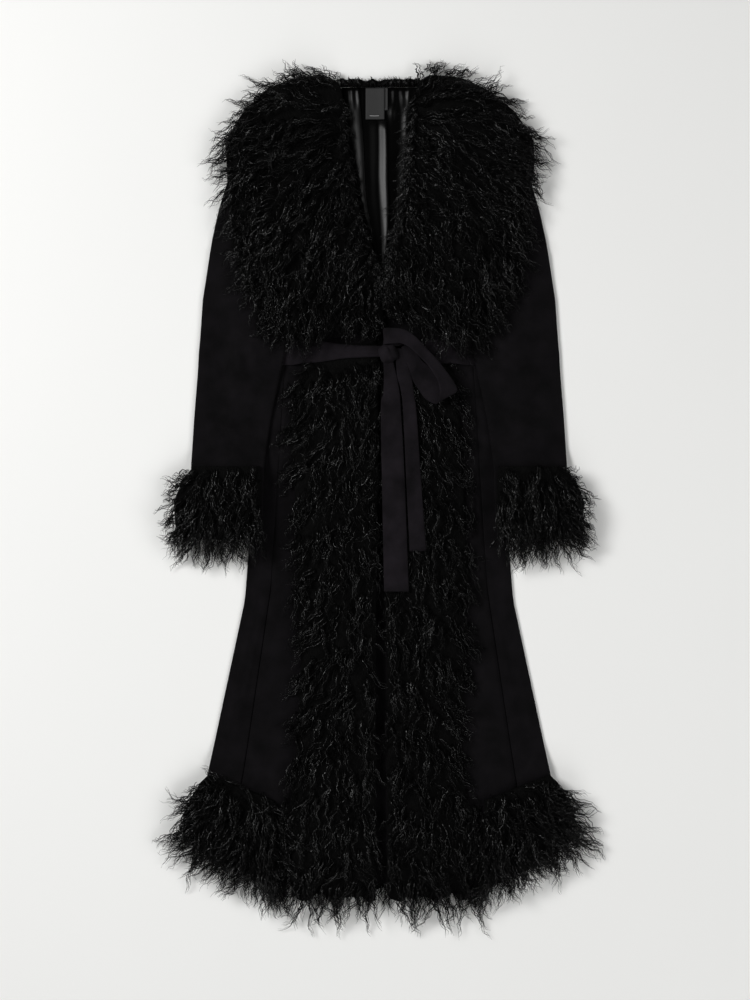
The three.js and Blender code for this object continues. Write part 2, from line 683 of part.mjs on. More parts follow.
function addKnot() {
  const geometry = new THREE.SphereGeometry(1, 14, 8);
  const position = geometry.getAttribute('position');
  const points = [];
  const index = new Map();
  const order = [];
  for (let corner = 0; corner < position.count; corner += 1) {
    const unit = [position.getX(corner), position.getY(corner), position.getZ(corner)];
    const key = unit.map((value) => value.toFixed(4)).join(' ').replaceAll('-0.0000', '0.0000');
    if (!index.has(key)) {
      index.set(key, points.length);
      const square = unit.map((value) => Math.sign(value) * Math.abs(value) ** 0.8);
      points.push([
        knot.x + square[0] * knot.halfX,
        knot.y + square[1] * knot.halfY,
        knot.z + square[2] * knot.halfZ,
      ]);
    }
    order.push(index.get(key));
  }
  const faces = [];
  const corners = geometry.getIndex();
  for (let face = 0; face < corners.count; face += 3) {
    const triangle = [0, 1, 2].map((corner) => order[corners.getX(face + corner)]);
    if (new Set(triangle).size === 3) faces.push(triangle);
  }
  addMesh('belt_knot', 'belt', points, faces);
}

function addBow() {
  const widthDirection = new THREE.Vector3(0.68, 0.73, 0);
  const sections = bowRows.map(({ x, y, z, half }) => ({ middle: new THREE.Vector3(x, y, z), widthDirection, half }));
  addRibbon('belt_loop', 'belt', sections, beltThickness);
}

// A hanging end lies on the fur of the right band, at the height of the fur under its outer edge
function addBeltEnd(name, rows, steps) {
  const top = rows[0].y;
  const bottom = rows[rows.length - 1].y;
  const outerX = read(rows, 'x', bottom) + read(rows, 'width', bottom) / 2;
  const bandInner = read(bandRows.right, 'inner', bottom);
  const bandShare = (outerX - bandInner) / (read(bandRows.right, 'outer', bottom) - bandInner);
  const fur = bandThickness(Math.min(bandShare, 0.4), bottom);
  const onFur = onFronts + fur + rest + beltThickness / 2;
  const sections = shares(steps).map((share) => {
    const y = mix(top, bottom, share);
    return {
      middle: new THREE.Vector3(read(rows, 'x', y), y, onFur),
      widthDirection: new THREE.Vector3(1, 0, 0),
      half: read(rows, 'width', y) / 2,
    };
  });
  addRibbon(name, 'belt', sections, beltThickness);
}

addBack();
addFront('front_left', -1);
addFront('front_right', 1);
addSide('side_left', -1);
addSide('side_right', 1);
addSleeve('sleeve_left', -1);
addSleeve('sleeve_right', 1);
addLining();
addLabel();
addHangingLoop();
addCollar('collar_left', collarRows.left, 3);
addCollar('collar_right', collarRows.right, 19);
addCollarBack();
addBand('band_left', 'left');
addBand('band_right', 'right');
addHemFront('hem_left', -1);
addHemFront('hem_right', 1);
addHemBack();
for (const [side, sign] of [['left', -1], ['right', 1]]) {
  addCuff(`cuff_${side}_under`, sign, 'under');
  addCuff(`cuff_${side}_top`, sign, 'top');
}
addBeltBack();
addBeltFront('belt_front_left', -1, -11);
addBeltFront('belt_front_right', 1, 38);
addKnot();
addBow();
addBeltEnd('belt_end_long', longEndRows, 8);
addBeltEnd('belt_end_short', shortEndRows, 7);

// The origin lies on the surface, under the middle of the whole coat
const extent = new THREE.Box3().setFromObject(coat);
const middle = extent.getCenter(new THREE.Vector3());
coat.position.set(-middle.x, -middle.y, 0);
coat.updateMatrixWorld(true);

export default coat;
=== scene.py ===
import json
import math
from functools import partial

import bpy
import numpy as np
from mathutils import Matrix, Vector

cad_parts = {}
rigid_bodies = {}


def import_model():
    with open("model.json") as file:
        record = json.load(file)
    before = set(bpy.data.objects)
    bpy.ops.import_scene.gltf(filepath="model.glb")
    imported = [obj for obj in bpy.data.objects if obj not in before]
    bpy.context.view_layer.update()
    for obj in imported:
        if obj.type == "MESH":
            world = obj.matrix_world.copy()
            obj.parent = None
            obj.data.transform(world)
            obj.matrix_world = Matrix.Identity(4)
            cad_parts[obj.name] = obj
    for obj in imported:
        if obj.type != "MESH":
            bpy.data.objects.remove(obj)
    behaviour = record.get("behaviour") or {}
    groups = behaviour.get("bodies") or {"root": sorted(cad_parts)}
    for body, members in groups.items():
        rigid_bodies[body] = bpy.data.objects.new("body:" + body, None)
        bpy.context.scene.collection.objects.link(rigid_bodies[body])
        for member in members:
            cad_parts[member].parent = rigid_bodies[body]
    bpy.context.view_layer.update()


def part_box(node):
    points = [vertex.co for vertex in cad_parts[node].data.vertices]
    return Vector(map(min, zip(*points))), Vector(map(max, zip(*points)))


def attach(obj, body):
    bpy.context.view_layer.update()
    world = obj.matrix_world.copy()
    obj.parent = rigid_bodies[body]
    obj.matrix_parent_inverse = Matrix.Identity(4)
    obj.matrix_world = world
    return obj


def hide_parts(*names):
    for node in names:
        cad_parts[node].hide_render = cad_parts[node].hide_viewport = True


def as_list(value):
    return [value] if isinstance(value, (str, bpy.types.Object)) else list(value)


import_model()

# Belted coat of black wool with long curly lamb trim, laid flat on its back.
# Plans and heights are in millimetres on the coat's own layout: x from the middle of the fronts,
# y from mid length up to the collar, z up from the surface. toFrame turns them into the frame's metres.

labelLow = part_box("neck_label")[0]
layout = {
    "labelLeft": -20.0,
    "labelBottom": 575.0,
    "photoWidth": 750,
    "photoHeight": 1000,
    "mmPerPixel": 1.5,
    "middlePixelX": 379.0,
    "middlePixelY": 501.5,
}
shiftX = labelLow[0] * 1000 - layout["labelLeft"]
shiftY = labelLow[1] * 1000 - layout["labelBottom"]

cloth = {"wool": 2.2, "satin": 1.2, "rest": 0.4, "seam": 0.5}
belt = {"width": 36.0, "thickness": 2.6, "y": 222.0}
fur = {"back": 7.2, "trough": 5.0, "under": 5.2, "hemUnder": 12.8}
noTriangles = np.zeros((0, 3), dtype=np.int32)


def toFrame(points):
    # layout millimetres to the frame's metres
    return (np.asarray(points, dtype=float) + np.array([shiftX, shiftY, 0.0])) / 1000.0


def mix(a, b, share):
    # a at a share of 0, b at 1, in a straight line
    return a + (b - a) * share


def ramp(value, start, end):
    # 0 before start, 1 past end, straight between
    return np.clip((value - start) / (end - start), 0.0, 1.0)


def smooth(value, start, end):
    # as ramp, with soft ends
    t = ramp(value, start, end)
    return t * t * (3 - 2 * t)


def bell(value, centre, width):
    # 1 at the centre, falling to 1/e at the width on both sides
    return np.exp(-(((value - centre) / width) ** 2))


def grid(uEnds, uCount, vEnds, vCount):
    # even places across u and v, as two whole arrays
    return np.meshgrid(np.linspace(*uEnds, uCount), np.linspace(*vEnds, vCount))


def table(columns, *rows):
    # named columns from short rows
    values = np.array(rows, dtype=float)
    return {name: values[:, index] for index, name in enumerate(columns.split())}


def read(rows, column, at):
    # a column's value at any place of the first column
    key = next(iter(rows.values()))
    order = np.argsort(key)
    return np.interp(at, key[order], rows[column][order])


def readShare(rows, column, share):
    # a column's value at a share of the way down its rows
    return np.interp(share, np.linspace(0, 1, len(rows[column])), rows[column])


def between(rows, at, share):
    # a place between a trim's or sleeve's inner and outer edges
    return mix(read(rows, "inner", at), read(rows, "outer", at), share)


# The coat's sections
groundRows = table(
    "y z", (-700, 7.6), (-398, 7.6), (-360, 0), (186, 0), (201, 3.0), (243, 3.0), (258, 0), (700, 0),
)
bodyRows = table(
    "y half",
    (-700, 316), (-396, 254), (-148, 201), (20, 188), (186, 183), (201, 180), (243, 180),
    (330, 205), (372, 210), (400, 172), (450, 152), (572, 164), (700, 164),
)
panelSeamRows = table("y x", (-700, 252), (-400, 202), (-130, 162), (222, 140), (400, 150))
neckRows = table(
    "y half",
    (344, 2), (380, 14.5), (413, 26), (452, 36.5), (488, 41), (551, 49), (620, 57), (700, 64),
)
sleeveRows = table(
    "y outer inner",
    (560, 190, 140), (512, 217, 133), (437, 240, 130), (392, 250, 128), (302, 264, 130), (258, 267, 134),
    (243, 268, 136), (222, 270, 141), (201, 271, 145), (186, 272, 149), (124, 277, 162), (76, 280, 169),
    (50, 281, 172), (-22, 286, 174),
)
collarRows = {
    "left": table(
        "innerX innerY outerX outerY",
        (-57, 620, -50, 636), (-55, 608, -92, 650), (-52, 593, -141, 640), (-51, 575, -185, 620),
        (-49, 551, -221, 582), (-45, 524, -246, 539), (-37, 488, -243, 494), (-33, 452, -242, 449),
        (-22, 413, -236, 398), (-10, 380, -226, 344), (3, 344, -208, 305), (4, 308, -184, 266),
        (4, 275, -148, 240), (2, 250, -84, 240),
    ),
    "right": table(
        "innerX innerY outerX outerY",
        (59, 620, 52, 641), (56.5, 608, 84, 652), (53, 593, 136, 641), (51.5, 575, 178, 620),
        (49, 551, 219, 585), (46, 524, 247, 541), (41, 488, 248, 494), (36, 452, 241, 446),
        (30, 413, 234, 398), (18, 380, 230, 352), (7, 344, 213, 305), (8, 312, 189, 262),
        (9, 288, 156, 228), (16, 270, 122, 262),
    ),
}
bandRows = {
    "left": table(
        "y inner outer",
        (236, -1, -106), (208, -1, -118), (186, -1, -136), (150, -1, -150), (104, -1, -153), (32, -2, -144),
        (-98, -4, -139), (-248, -5, -131), (-347, -5, -138), (-440, -5, -147), (-560, -5, -148),
    ),
    "right": table(
        "y inner outer",
        (236, 3, 106), (208, 3, 116), (186, 3, 128), (150, 3, 134), (104, 4, 138), (32, 5, 142),
        (-98, 9, 150), (-248, 12, 146), (-347, 12, 134), (-440, 12, 146), (-560, 12, 148),
    ),
}
cuffRows = table(
    "share outer inner",
    (0, 288, 172), (0.16, 308, 169), (0.36, 321, 167), (0.6, 318, 168), (1, 300, 184),
)
hemOuterRows = table(
    "share x", (0, 262), (0.08, 275), (0.2, 286), (0.4, 299), (0.6, 304), (0.82, 301), (1, 290),
)
neckMiddleX = 4.0
hem = {"y": -572.0, "rise": 74.0, "bandTop": -403.0}
signs = {"left": -1, "right": 1}
topY = {"back": 621, "fronts": 606, "sides": 372}
sleeveSpan = (-22, 560)
bandSpan = (236.0, -640.0)
leastFill = 0.31  # of its flat size that a cut piece covers


def ground(y):
    # height of what the coat lies on: the surface, the belt behind or the fur under the hem
    return read(groundRows, "z", y)


def bodyHalf(y):
    # half the body's width
    return read(bodyRows, "half", y)


def sleeveHollow(u):
    # the room inside a flat sleeve, closed at both folds
    return 0.3 + 2.6 * np.sin(math.pi * np.clip(u, 0.001, 0.999)) ** 0.5


def frontUnder(y):
    # underside of a front, which rests on the back panel
    return ground(y) + cloth["wool"] + cloth["rest"]


def frontTop(y):
    # its upper face
    return frontUnder(y) + cloth["wool"]


def bend(x, y, top):
    # the hem curves up to the sides, and the top slopes down to the shoulders
    hemShare = ramp(-y, 430, -hem["y"])
    shoulderShare = ramp(y, 500, top)
    return y + hem["rise"] * hemShare * (x / 285) ** 2 - 0.34 * np.maximum(0, np.abs(x) - 56) * shoulderShare


def sleeveGround(x, y):
    # what a sleeve lies on: the surface outside, the body's edge and the belt inside
    offEdge = np.abs(x) - bodyHalf(y)
    bodyHeight = ground(np.maximum(y, -350)) + 2 * cloth["wool"] + 2 * cloth["rest"]
    beltHeight = (belt["thickness"] + cloth["rest"]) * ramp(y, 186, 201) * ramp(-y, -258, -243)
    return (bodyHeight + beltHeight) * smooth(-offEdge, -58, -22)


def cuffLift(y):
    # the sleeve's end is lifted by the fur under it
    return (fur["back"] + cloth["rest"]) * smooth(-y, -84, -52)


def ripple(x, y, seed, size):
    # a smooth uneven field from -1 to 1: three crossed waves of unlike lengths
    turn = seed * 1.7
    a = np.sin((x * math.cos(turn) + y * math.sin(turn)) / size * 6.3 + seed)
    b = np.sin((x * math.sin(turn * 1.3) - y * math.cos(turn * 0.7)) / (size * 0.61) * 6.3 + 2.1 * seed)
    c = np.sin((x + 0.6 * y) / (size * 0.37) * 6.3 + 3.3 * seed)
    return (a + 0.7 * b + 0.4 * c) / 2.1


def gridRead(values, column, row):
    # values of a grid between its points
    c = np.minimum(column.astype(int), values.shape[1] - 2)
    r = np.minimum(row.astype(int), values.shape[0] - 2)
    upper = mix(values[r, c], values[r, c + 1], column - c)
    return mix(upper, mix(values[r + 1, c], values[r + 1, c + 1], column - c), row - r)


# Mesh making

def makeObject(name, points, quads, triangles, finish):
    # points in layout millimetres, quads and triangles as whole index arrays, finish a material and its slot
    material, slotName = finish
    mesh = bpy.data.meshes.new(name)
    loops = np.concatenate([quads.ravel(), triangles.ravel()]).astype(np.int32)
    sizes = np.repeat([4, 3], [len(quads), len(triangles)])
    mesh.vertices.add(len(points))
    mesh.vertices.foreach_set("co", toFrame(points).astype(np.float32).ravel())
    mesh.loops.add(len(loops))
    mesh.loops.foreach_set("vertex_index", loops)
    mesh.polygons.add(len(sizes))
    mesh.polygons.foreach_set("loop_start", (np.cumsum(sizes) - sizes).astype(np.int32))
    mesh.polygons.foreach_set("use_smooth", np.ones(len(sizes), dtype=bool))
    mesh.update(calc_edges=True)
    mesh.materials.append(material)
    piece = bpy.data.objects.new(name, mesh)
    bpy.context.scene.collection.objects.link(piece)
    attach(piece, "root")
    return piece


def chartCorners(piece, name, first, second):
    # a named map on a piece, from two values at each corner of its faces
    layer = piece.data.uv_layers.new(name=name)
    layer.data.foreach_set("uv", np.stack([first, second], -1).astype(np.float32).ravel())


def chartShell(piece, name, first, second):
    # the same over a shell, from two values at each point of its grid
    corners = np.empty(len(piece.data.loops), dtype=np.int32)
    piece.data.loops.foreach_get("vertex_index", corners)
    corners %= first.size
    chartCorners(piece, name, first.ravel()[corners], second.ravel()[corners])


def shellPiece(name, x, y, under, top, finish):
    # a closed shell over a grid of plan points: its underside, its top and a wall round its rim
    points = np.concatenate([np.stack([x, y, z], -1).reshape(-1, 3) for z in (under, top)])
    index = np.arange(x.size).reshape(x.shape)
    a, b, c, d = index[:-1, :-1], index[:-1, 1:], index[1:, 1:], index[1:, :-1]
    rim = np.concatenate([index[0, :], index[1:, -1], index[-1, -2::-1], index[-2:0:-1, 0]])
    following = np.roll(rim, -1)
    quads = np.concatenate([
        np.stack([a, d, c, b], -1).reshape(-1, 4), np.stack([a, b, c, d], -1).reshape(-1, 4) + x.size,
        np.stack([rim, following, following + x.size, rim + x.size], -1),
    ])
    px, py = x.ravel(), y.ravel()
    turns = (a, b, d), (b, c, a), (c, d, b), (d, a, c)
    area = 0.5 * sum(np.sum(px[at] * (py[after] - py[before])) for at, after, before in turns)
    if area < 0:
        quads = quads[:, ::-1]
    piece = makeObject(name, points, quads, noTriangles, finish)
    piece["planArea"] = abs(area) / 1e6
    return piece


def woolPanel(name, x, y, under, above, restsOn, node):
    # one panel of the coating: `above` is what its face adds to the cloth's thickness
    laid(shellPiece(name, x, y, under, under + cloth["wool"] + above, wool), restsOn, [node])


def laid(piece, restsOn, nodes):
    # the sizes of a flat cut: its width and length are the plan's, its area the outline's; they are worked
    # out but not kept, and the CAD parts that it replaces are hidden
    corners = np.array([v.co[:] for v in piece.data.vertices])
    spread = corners.max(0) - corners.min(0)
    width, length = float(spread[0]), float(spread[1])
    area = min(max(piece["planArea"], leastFill * width * length), width * length)
    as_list(restsOn)
    if nodes:
        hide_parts(*nodes)


def ringPiece(name, rings, ends, finish):
    # a closed skin over rings of points, with a fan to a middle point at each end
    steps, around = rings.shape[:2]
    index = np.arange(steps * around).reshape(steps, around)
    following = np.roll(index, -1, axis=1)
    quads = np.stack([index[:-1], index[1:], following[1:], following[:-1]], -1).reshape(-1, 4)
    first = np.full(around, steps * around)
    fans = np.concatenate([
        np.stack([first, index[0], following[0]], -1), np.stack([first + 1, following[-1], index[-1]], -1),
    ])
    return makeObject(name, np.concatenate([rings.reshape(-1, 3), ends]), quads, fans, finish)


def power(value, exponent):
    # a power that keeps the sign
    return np.sign(value) * np.abs(value) ** exponent


def unitRows(vectors):
    # each row at length 1
    return vectors / np.linalg.norm(vectors, axis=1, keepdims=True)


def ribbonPiece(name, centre, side, halves, thickness, finish, around, fold=None):
    # a flat ribbon: a rounded flat section of `around` points carried along the centre line
    side = np.broadcast_to(np.array(side, dtype=float), centre.shape)
    up = unitRows(np.cross(side, unitRows(np.gradient(centre, axis=0))))[:, None, :]
    angle = np.arange(around) / around * math.tau
    across = power(np.cos(angle), 0.55)
    offset = across[None, :, None] * halves[:, None, None] * side[:, None, :]
    lift = power(np.sin(angle), 0.7)[None, :, None] * (thickness / 2) * up
    rings = centre[:, None, :] + offset + lift
    if fold is not None:
        rings = rings + fold(across)[:, :, None] * up
    piece = ringPiece(name, rings, centre[[0, -1]], finish)
    lengths = np.linalg.norm(np.diff(centre, axis=0), axis=1)
    piece["cutLength"] = float(lengths.sum() / 1000)
    piece["cutArea"] = float((lengths * (halves[1:] + halves[:-1])).sum() / 1e6)
    return piece


def beltPiece(name, centre, side, halves, fold, node):
    # a stretch of the belt, declared at its full width and its centre line's length
    piece = ribbonPiece(name, centre, side, halves, belt["thickness"], beltCloth, 18, fold)
    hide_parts(node)


def along(points, count):
    # a smooth path of count points through a few named ones, by a cubic through each run of four
    points = np.array(points, dtype=float)
    padded = np.vstack([2 * points[0] - points[1], points, 2 * points[-1] - points[-2]])
    t = np.linspace(0, len(points) - 1, count)
    k = np.minimum(t.astype(int), len(points) - 2)
    f = (t - k)[:, None]
    p0, p1, p2, p3 = (padded[k + step] for step in range(4))
    square, cube = 2 * p0 - 5 * p1 + 4 * p2 - p3, 3 * p1 - p0 - 3 * p2 + p3
    return 0.5 * (2 * p1 + (p2 - p0) * f + square * f**2 + cube * f**3)


# Shader maths

class Value:
    # wraps a socket, so that an expression on values adds its Math nodes
    def __init__(self, shader, socket):
        self.shader, self.socket = shader, socket

    def maths(self, operation, first, second):
        return self.shader.add("ShaderNodeMath", 0, {"operation": operation}, {0: first, 1: second})

    def __add__(self, other):
        return self.maths("ADD", self, other)

    def __mul__(self, other):
        return self.maths("MULTIPLY", self, other)

    def __sub__(self, other):
        return self.maths("SUBTRACT", self, other)

    def __rsub__(self, other):
        return self.maths("SUBTRACT", other, self)

    def __pow__(self, exponent):
        return self.maths("POWER", self, exponent)

    __radd__ = __add__
    __rmul__ = __mul__


class Shader:
    def __init__(self, name):
        self.material = bpy.data.materials.new(name)
        self.material.use_nodes = True
        self.tree = self.material.node_tree

    def add(self, kind, output, settings, sockets):
        # one node: its type, the output that is wanted, its settings and what its sockets take
        node = self.tree.nodes.new(kind)
        for name, value in settings.items():
            setattr(node, name, value)
        for name, value in sockets.items():
            self.feed(node.inputs[name], value)
        return Value(self, node.outputs[output])

    def feed(self, socket, value):
        if isinstance(value, Value):
            self.tree.links.new(value.socket, socket)
        else:
            socket.default_value = value

    def finish(self, sockets):
        for name, value in sockets.items():
            self.feed(self.tree.nodes["Principled BSDF"].inputs[name], value)
        return self.material

    def noise(self, scale, detail, rough, stretch=(1, 1, 1)):
        place = self.add("ShaderNodeTexCoord", "Object", {}, {})
        place = self.add("ShaderNodeMapping", "Vector", {}, {"Vector": place, "Scale": stretch})
        sockets = {"Vector": place, "Scale": scale, "Detail": detail, "Roughness": rough}
        return self.add("ShaderNodeTexNoise", "Fac", {}, sockets)

    def blend(self, share, first, second):
        # the Mix node's inputs 6 and 7 and its output 2 are its colours
        return self.add("ShaderNodeMix", 2, {"data_type": "RGBA"}, {0: share, 6: first, 7: second})

    def wave(self, length, turns):
        # a sine with this many turns for each unit of length
        return self.add("ShaderNodeMath", 0, {"operation": "SINE"}, {0: length * (turns * math.tau)})

    def chart(self, name, part=None):
        # a piece's own map of this name, or one part of it
        place = self.add("ShaderNodeUVMap", "UV", {"uv_map": name}, {})
        return self.add("ShaderNodeSeparateXYZ", part, {}, {0: place}) if part else place

    def bump(self, height, strength, distance):
        sockets = {"Height": height, "Strength": strength, "Distance": distance}
        return self.add("ShaderNodeBump", "Normal", {}, sockets)


def grey(level, warm=0.0):
    # a grey with a little more red and less blue where it is warm
    return (level * (1 + warm), level, level * (1 - warm * 0.4), 1.0)


woolLook = {"dark": 0.0005, "light": 0.0028, "fibre": 1500, "nap": 30, "bump": 0.4, "red": 1.25, "blue": 1.3}
furLook = {
    "dark": 0.0004, "light": 0.0040, "roughness": 0.42, "shine": 0.07, "crimp": 1.9, "crimpDepth": 0.0010,
    "paleRarity": 2.6, "glint": 0.85, "glintRoughness": 0.27, "glintIndex": 1.9,
}
# the lining's satin; its last value is the coat index of the lining's painted sheen
satinLook = {"dark": 0.0006, "light": 0.0018, "roughness": 0.30, "gloss": 0.028, "paintedSheenIndex": 1.245}


def woolMaterial(name, look, tint=1.0):
    # brushed coating: felted fibres at a millimetre, a cloudy nap at a few centimetres
    shader = Shader(name)
    fibre = shader.noise(look["fibre"], 3.0, 0.6, (1.0, 0.35, 1.0))
    cloud = shader.noise(look["nap"], 3.0, 0.55)
    dark, light = (
        (level * tint * look["red"], level * tint, level * tint * look["blue"], 1.0)
        for level in (look["dark"], look["light"]))
    return shader.finish({
        "Base Color": shader.blend(fibre * 0.9 + cloud * 2.0 - 0.95, dark, light),
        "Roughness": 0.95 - 0.12 * cloud,
        "Specular IOR Level": 0.08,
        "Sheen Weight": 0.022,
        "Sheen Roughness": 0.6,
        "Sheen Tint": (0.6, 0.58, 0.62, 1.0),
        "Normal": shader.bump(fibre + cloud * 0.5, look["bump"], 0.0006),
    })


def furMaterial(name, look):
    # each hair is crimped: its own map runs along it in centimetres, and the crimp is a sine of that length.
    # The map's other value is the hair's own share: few hairs are pale, and those carry a painted glint that
    # rises and falls with the crimp wave along them.
    shader = Shader(name)
    own, lengthwise = shader.chart("along", "X"), shader.chart("along", "Y")
    crimp = shader.wave(lengthwise, look["crimp"]) + 0.5 * shader.wave(lengthwise, look["crimp"] * 1.83)
    pale = own ** look["paleRarity"]
    share = shader.noise(90, 2.0, 0.5) * 0.3 + pale * 0.7
    return shader.finish({
        "Base Color": shader.blend(share, grey(look["dark"], 0.02), grey(look["light"], 0.04)),
        "Roughness": look["roughness"] + 0.2 * (1.0 - own),
        "Specular IOR Level": look["shine"],
        # painted glint: the coat on pale hairs rises and falls with the crimp wave, bright flecks at the top
        # of each wave
        "Coat Weight": pale * (0.55 + 0.3 * crimp) * look["glint"],
        "Coat Roughness": look["glintRoughness"],
        "Coat IOR": look["glintIndex"],
        "Normal": shader.bump(crimp, 1.0, look["crimpDepth"]),
    })


def underfurMaterial(name):
    # short dense wool between the locks: thin strands along the pelt's own map, almost without shine
    shader = Shader(name)
    place = shader.add(
        "ShaderNodeMapping", "Vector", {}, {"Vector": shader.chart("along"), "Scale": (6.5, 1.7, 1.0)})
    sockets = {"Vector": place, "Scale": 1.0, "Detail": 3.0, "Roughness": 0.6, "Distortion": 0.9}
    strands = shader.add("ShaderNodeTexNoise", "Fac", {}, sockets)
    return shader.finish({
        "Base Color": shader.blend(strands ** 3.0, grey(0.0003), grey(0.0090, 0.03)),
        "Roughness": 0.9 - 0.1 * strands,
        "Specular IOR Level": 0.06,
        "Normal": shader.bump(strands, 0.8, 0.003),
    })


def satinMaterial(name, look, hasPaintedSheen=False):
    # on the lining the shine is painted from its map of the folds: a painted highlight along their crests and
    # painted shade in the hollows, where the coat layer is turned down
    shader = Shader(name)
    cloud = shader.noise(24, 2.0, 0.5)
    sockets = {
        "Base Color": shader.blend(cloud, grey(look["dark"]), grey(look["light"])),
        "Roughness": look["roughness"] + 0.08 * cloud,
        "Specular IOR Level": look["gloss"],
        "Normal": shader.bump(shader.noise(1800, 2.0, 0.6, (1.0, 0.08, 1.0)), 0.12, 0.0002),
    }
    if hasPaintedSheen:
        # painted sheen: the coat layer follows the map of the folds, a painted highlight on the fold tops and
        # painted shade in the hollows
        sockets["Coat Weight"] = shader.chart("folds", "X") * (0.8 + 0.4 * cloud)
        sockets["Coat Roughness"] = look["roughness"]
        sockets["Coat IOR"] = look["paintedSheenIndex"]
    return shader.finish(sockets)


def labelMaterial(name):
    # a plain weave of threads both ways
    shader = Shader(name)
    weave = sum(shader.noise(2400, 1.0, 0.5, way) * 0.5 for way in ((1.0, 0.1, 1.0), (0.1, 1.0, 1.0)))
    return shader.finish({
        "Base Color": shader.blend(weave, grey(0.014), grey(0.032)),
        "Roughness": 0.85 - 0.1 * weave,
        "Specular IOR Level": 0.3,
        "Normal": shader.bump(weave, 0.3, 0.0003),
    })


def threadMaterial(name):
    # a grey thread, a little uneven in tone
    shader = Shader(name)
    tone = shader.noise(1500, 1.0, 0.5)
    colour = shader.blend(tone, grey(0.16), grey(0.28))
    return shader.finish({"Base Color": colour, "Roughness": 0.7 - 0.1 * tone})


def floorMaterial(name):
    # a plain pale floor with faint wide clouds
    shader = Shader(name)
    cloud = shader.noise(3.0, 2.0, 0.5)
    colour = shader.blend(cloud, (0.83, 0.83, 0.815, 1.0), (0.85, 0.85, 0.835, 1.0))
    return shader.finish({"Base Color": colour, "Roughness": 0.9 - 0.02 * cloud, "Specular IOR Level": 0.1})


wool = woolMaterial("wool", woolLook), "wool"
beltCloth = woolMaterial("belt", woolLook, 2.7), "belt"
lockFur = furMaterial("fur", furLook), "fur"
underfur = underfurMaterial("underfur"), "fur"
satin = satinMaterial("satin", satinLook), "satin"
# the lining's satin, whose shine is a painted sheen from its map of the folds
paintedSheenSatin = satinMaterial("satin painted sheen", satinLook, True), "satin"
labelCloth = labelMaterial("label"), "label"
threadCloth = threadMaterial("thread"), "label"
print("materials made")


# Wool panels

def seamDip(distance, y):
    # the cloth rolls down a little into a seam, which is pressed flat above the skirt
    return -0.9 * bell(distance, 0, 3.2) * smooth(-y, 100, 150)


def seamGap(y):
    # half the gap along a panel seam: nearly shut above the skirt, open below
    return mix(0.15, cloth["seam"], smooth(-y, 100, 150))


def makeBack():
    # the back lies flat, from edge to edge of the body
    u, y = grid((0, 1), 14, (hem["y"], topY["back"]), 70)
    x = mix(-1, 1, u) * bodyHalf(y)
    bent = bend(x, y, topY["back"])
    woolPanel("back_panel", x, bent, ground(y), 0, ["hem_back_pelt", "belt_behind"], "back")


def frontEdge(sign, y):
    # the fronts meet near the middle, and follow the neckline where it opens
    below = 3 + sign * 7
    opened = neckMiddleX + sign * (read(neckRows, "half", y) + 4)
    return np.maximum(below, opened) if sign > 0 else np.minimum(below, opened)


def skirtRelief(x, y, sign):
    # soft long folds of the skirt, wider and deeper towards the hem fur
    flare = 0.21 * np.maximum(0, -148 - y)
    place = np.abs(x) - flare
    first = 2.6 * bell(place, 186 + 2 * sign, 8) + 1.3 * bell(place, 171 - sign, 5)
    second = 0.9 * bell(place + 0.05 * y, 158, 6)
    return (first + second + 0.35 * ripple(x, y, 3 + sign, 130)) * smooth(y, -400, -330) * smooth(-y, 70, 190)


def makeFront(side):
    # from the front edge out to the panel seam, or to the body's edge at the shoulder
    sign = signs[side]
    u, y = grid((0, 1), 24, (hem["y"], topY["fronts"]), 110)
    outer = np.where(y >= 400, bodyHalf(y), read(panelSeamRows, "x", y) - seamGap(y))
    x = mix(frontEdge(sign, y), sign * outer, u)
    seamDistance = np.where(y < topY["sides"], outer - np.abs(x), 99)
    above = 0.4 * skirtRelief(x, y, sign) + seamDip(seamDistance, y)
    bent = bend(x, y, topY["fronts"])
    woolPanel(f"front_{side}_panel", x, bent, frontUnder(y), above, ["back_panel"], f"front_{side}")


def makeSide(side):
    # from the panel seam to the body's edge, with a shallow hollow beside the seam
    sign = signs[side]
    u, y = grid((0, 1), 24, (hem["y"], topY["sides"]), 96)
    inner, outer = read(panelSeamRows, "x", y) + seamGap(y), bodyHalf(y)
    x = sign * mix(inner, outer, u)
    relief = skirtRelief(x, y, sign) * smooth(u, 0, 0.12) * smooth(-u, -1, -0.86)
    hollow = 0.9 * bell(np.abs(x) - inner, 5, 5) * (0.6 - 0.4 * sign)
    hollow = hollow * smooth(-y, 175, 200) * smooth(y, -360, -290)
    under = frontUnder(y) + relief - np.minimum(hollow, relief + 0.2)
    above = np.maximum(-1.4 * bell(outer - np.abs(x), 0, 3), -1.2) + seamDip(np.abs(x) - inner, y)
    bent = bend(x, y, topY["fronts"])
    woolPanel(f"side_{side}_panel", x, bent, under, above, ["back_panel"], f"side_{side}")


# creases of the upper sleeve wall: each a trough from one place to another
sleeveCreases = {
    "left": table(
        "startX startY endX endY width depth",
        (206, 230, 177, 154, 6.0, 2.3), (249, 124, 199, 73, 5.0, 1.9), (236, 214, 222, 150, 7.0, 0.9),
        (192, 128, 176, 66, 5.0, 0.8),
    ),
    "right": table(
        "startX startY endX endY width depth",
        (233, 76, 190, 93, 4.5, 2.0), (214, 95, 196, 104, 3.5, 1.2), (180, 214, 166, 148, 6.0, 1.2),
        (244, 190, 232, 120, 8.0, 0.8),
    ),
}


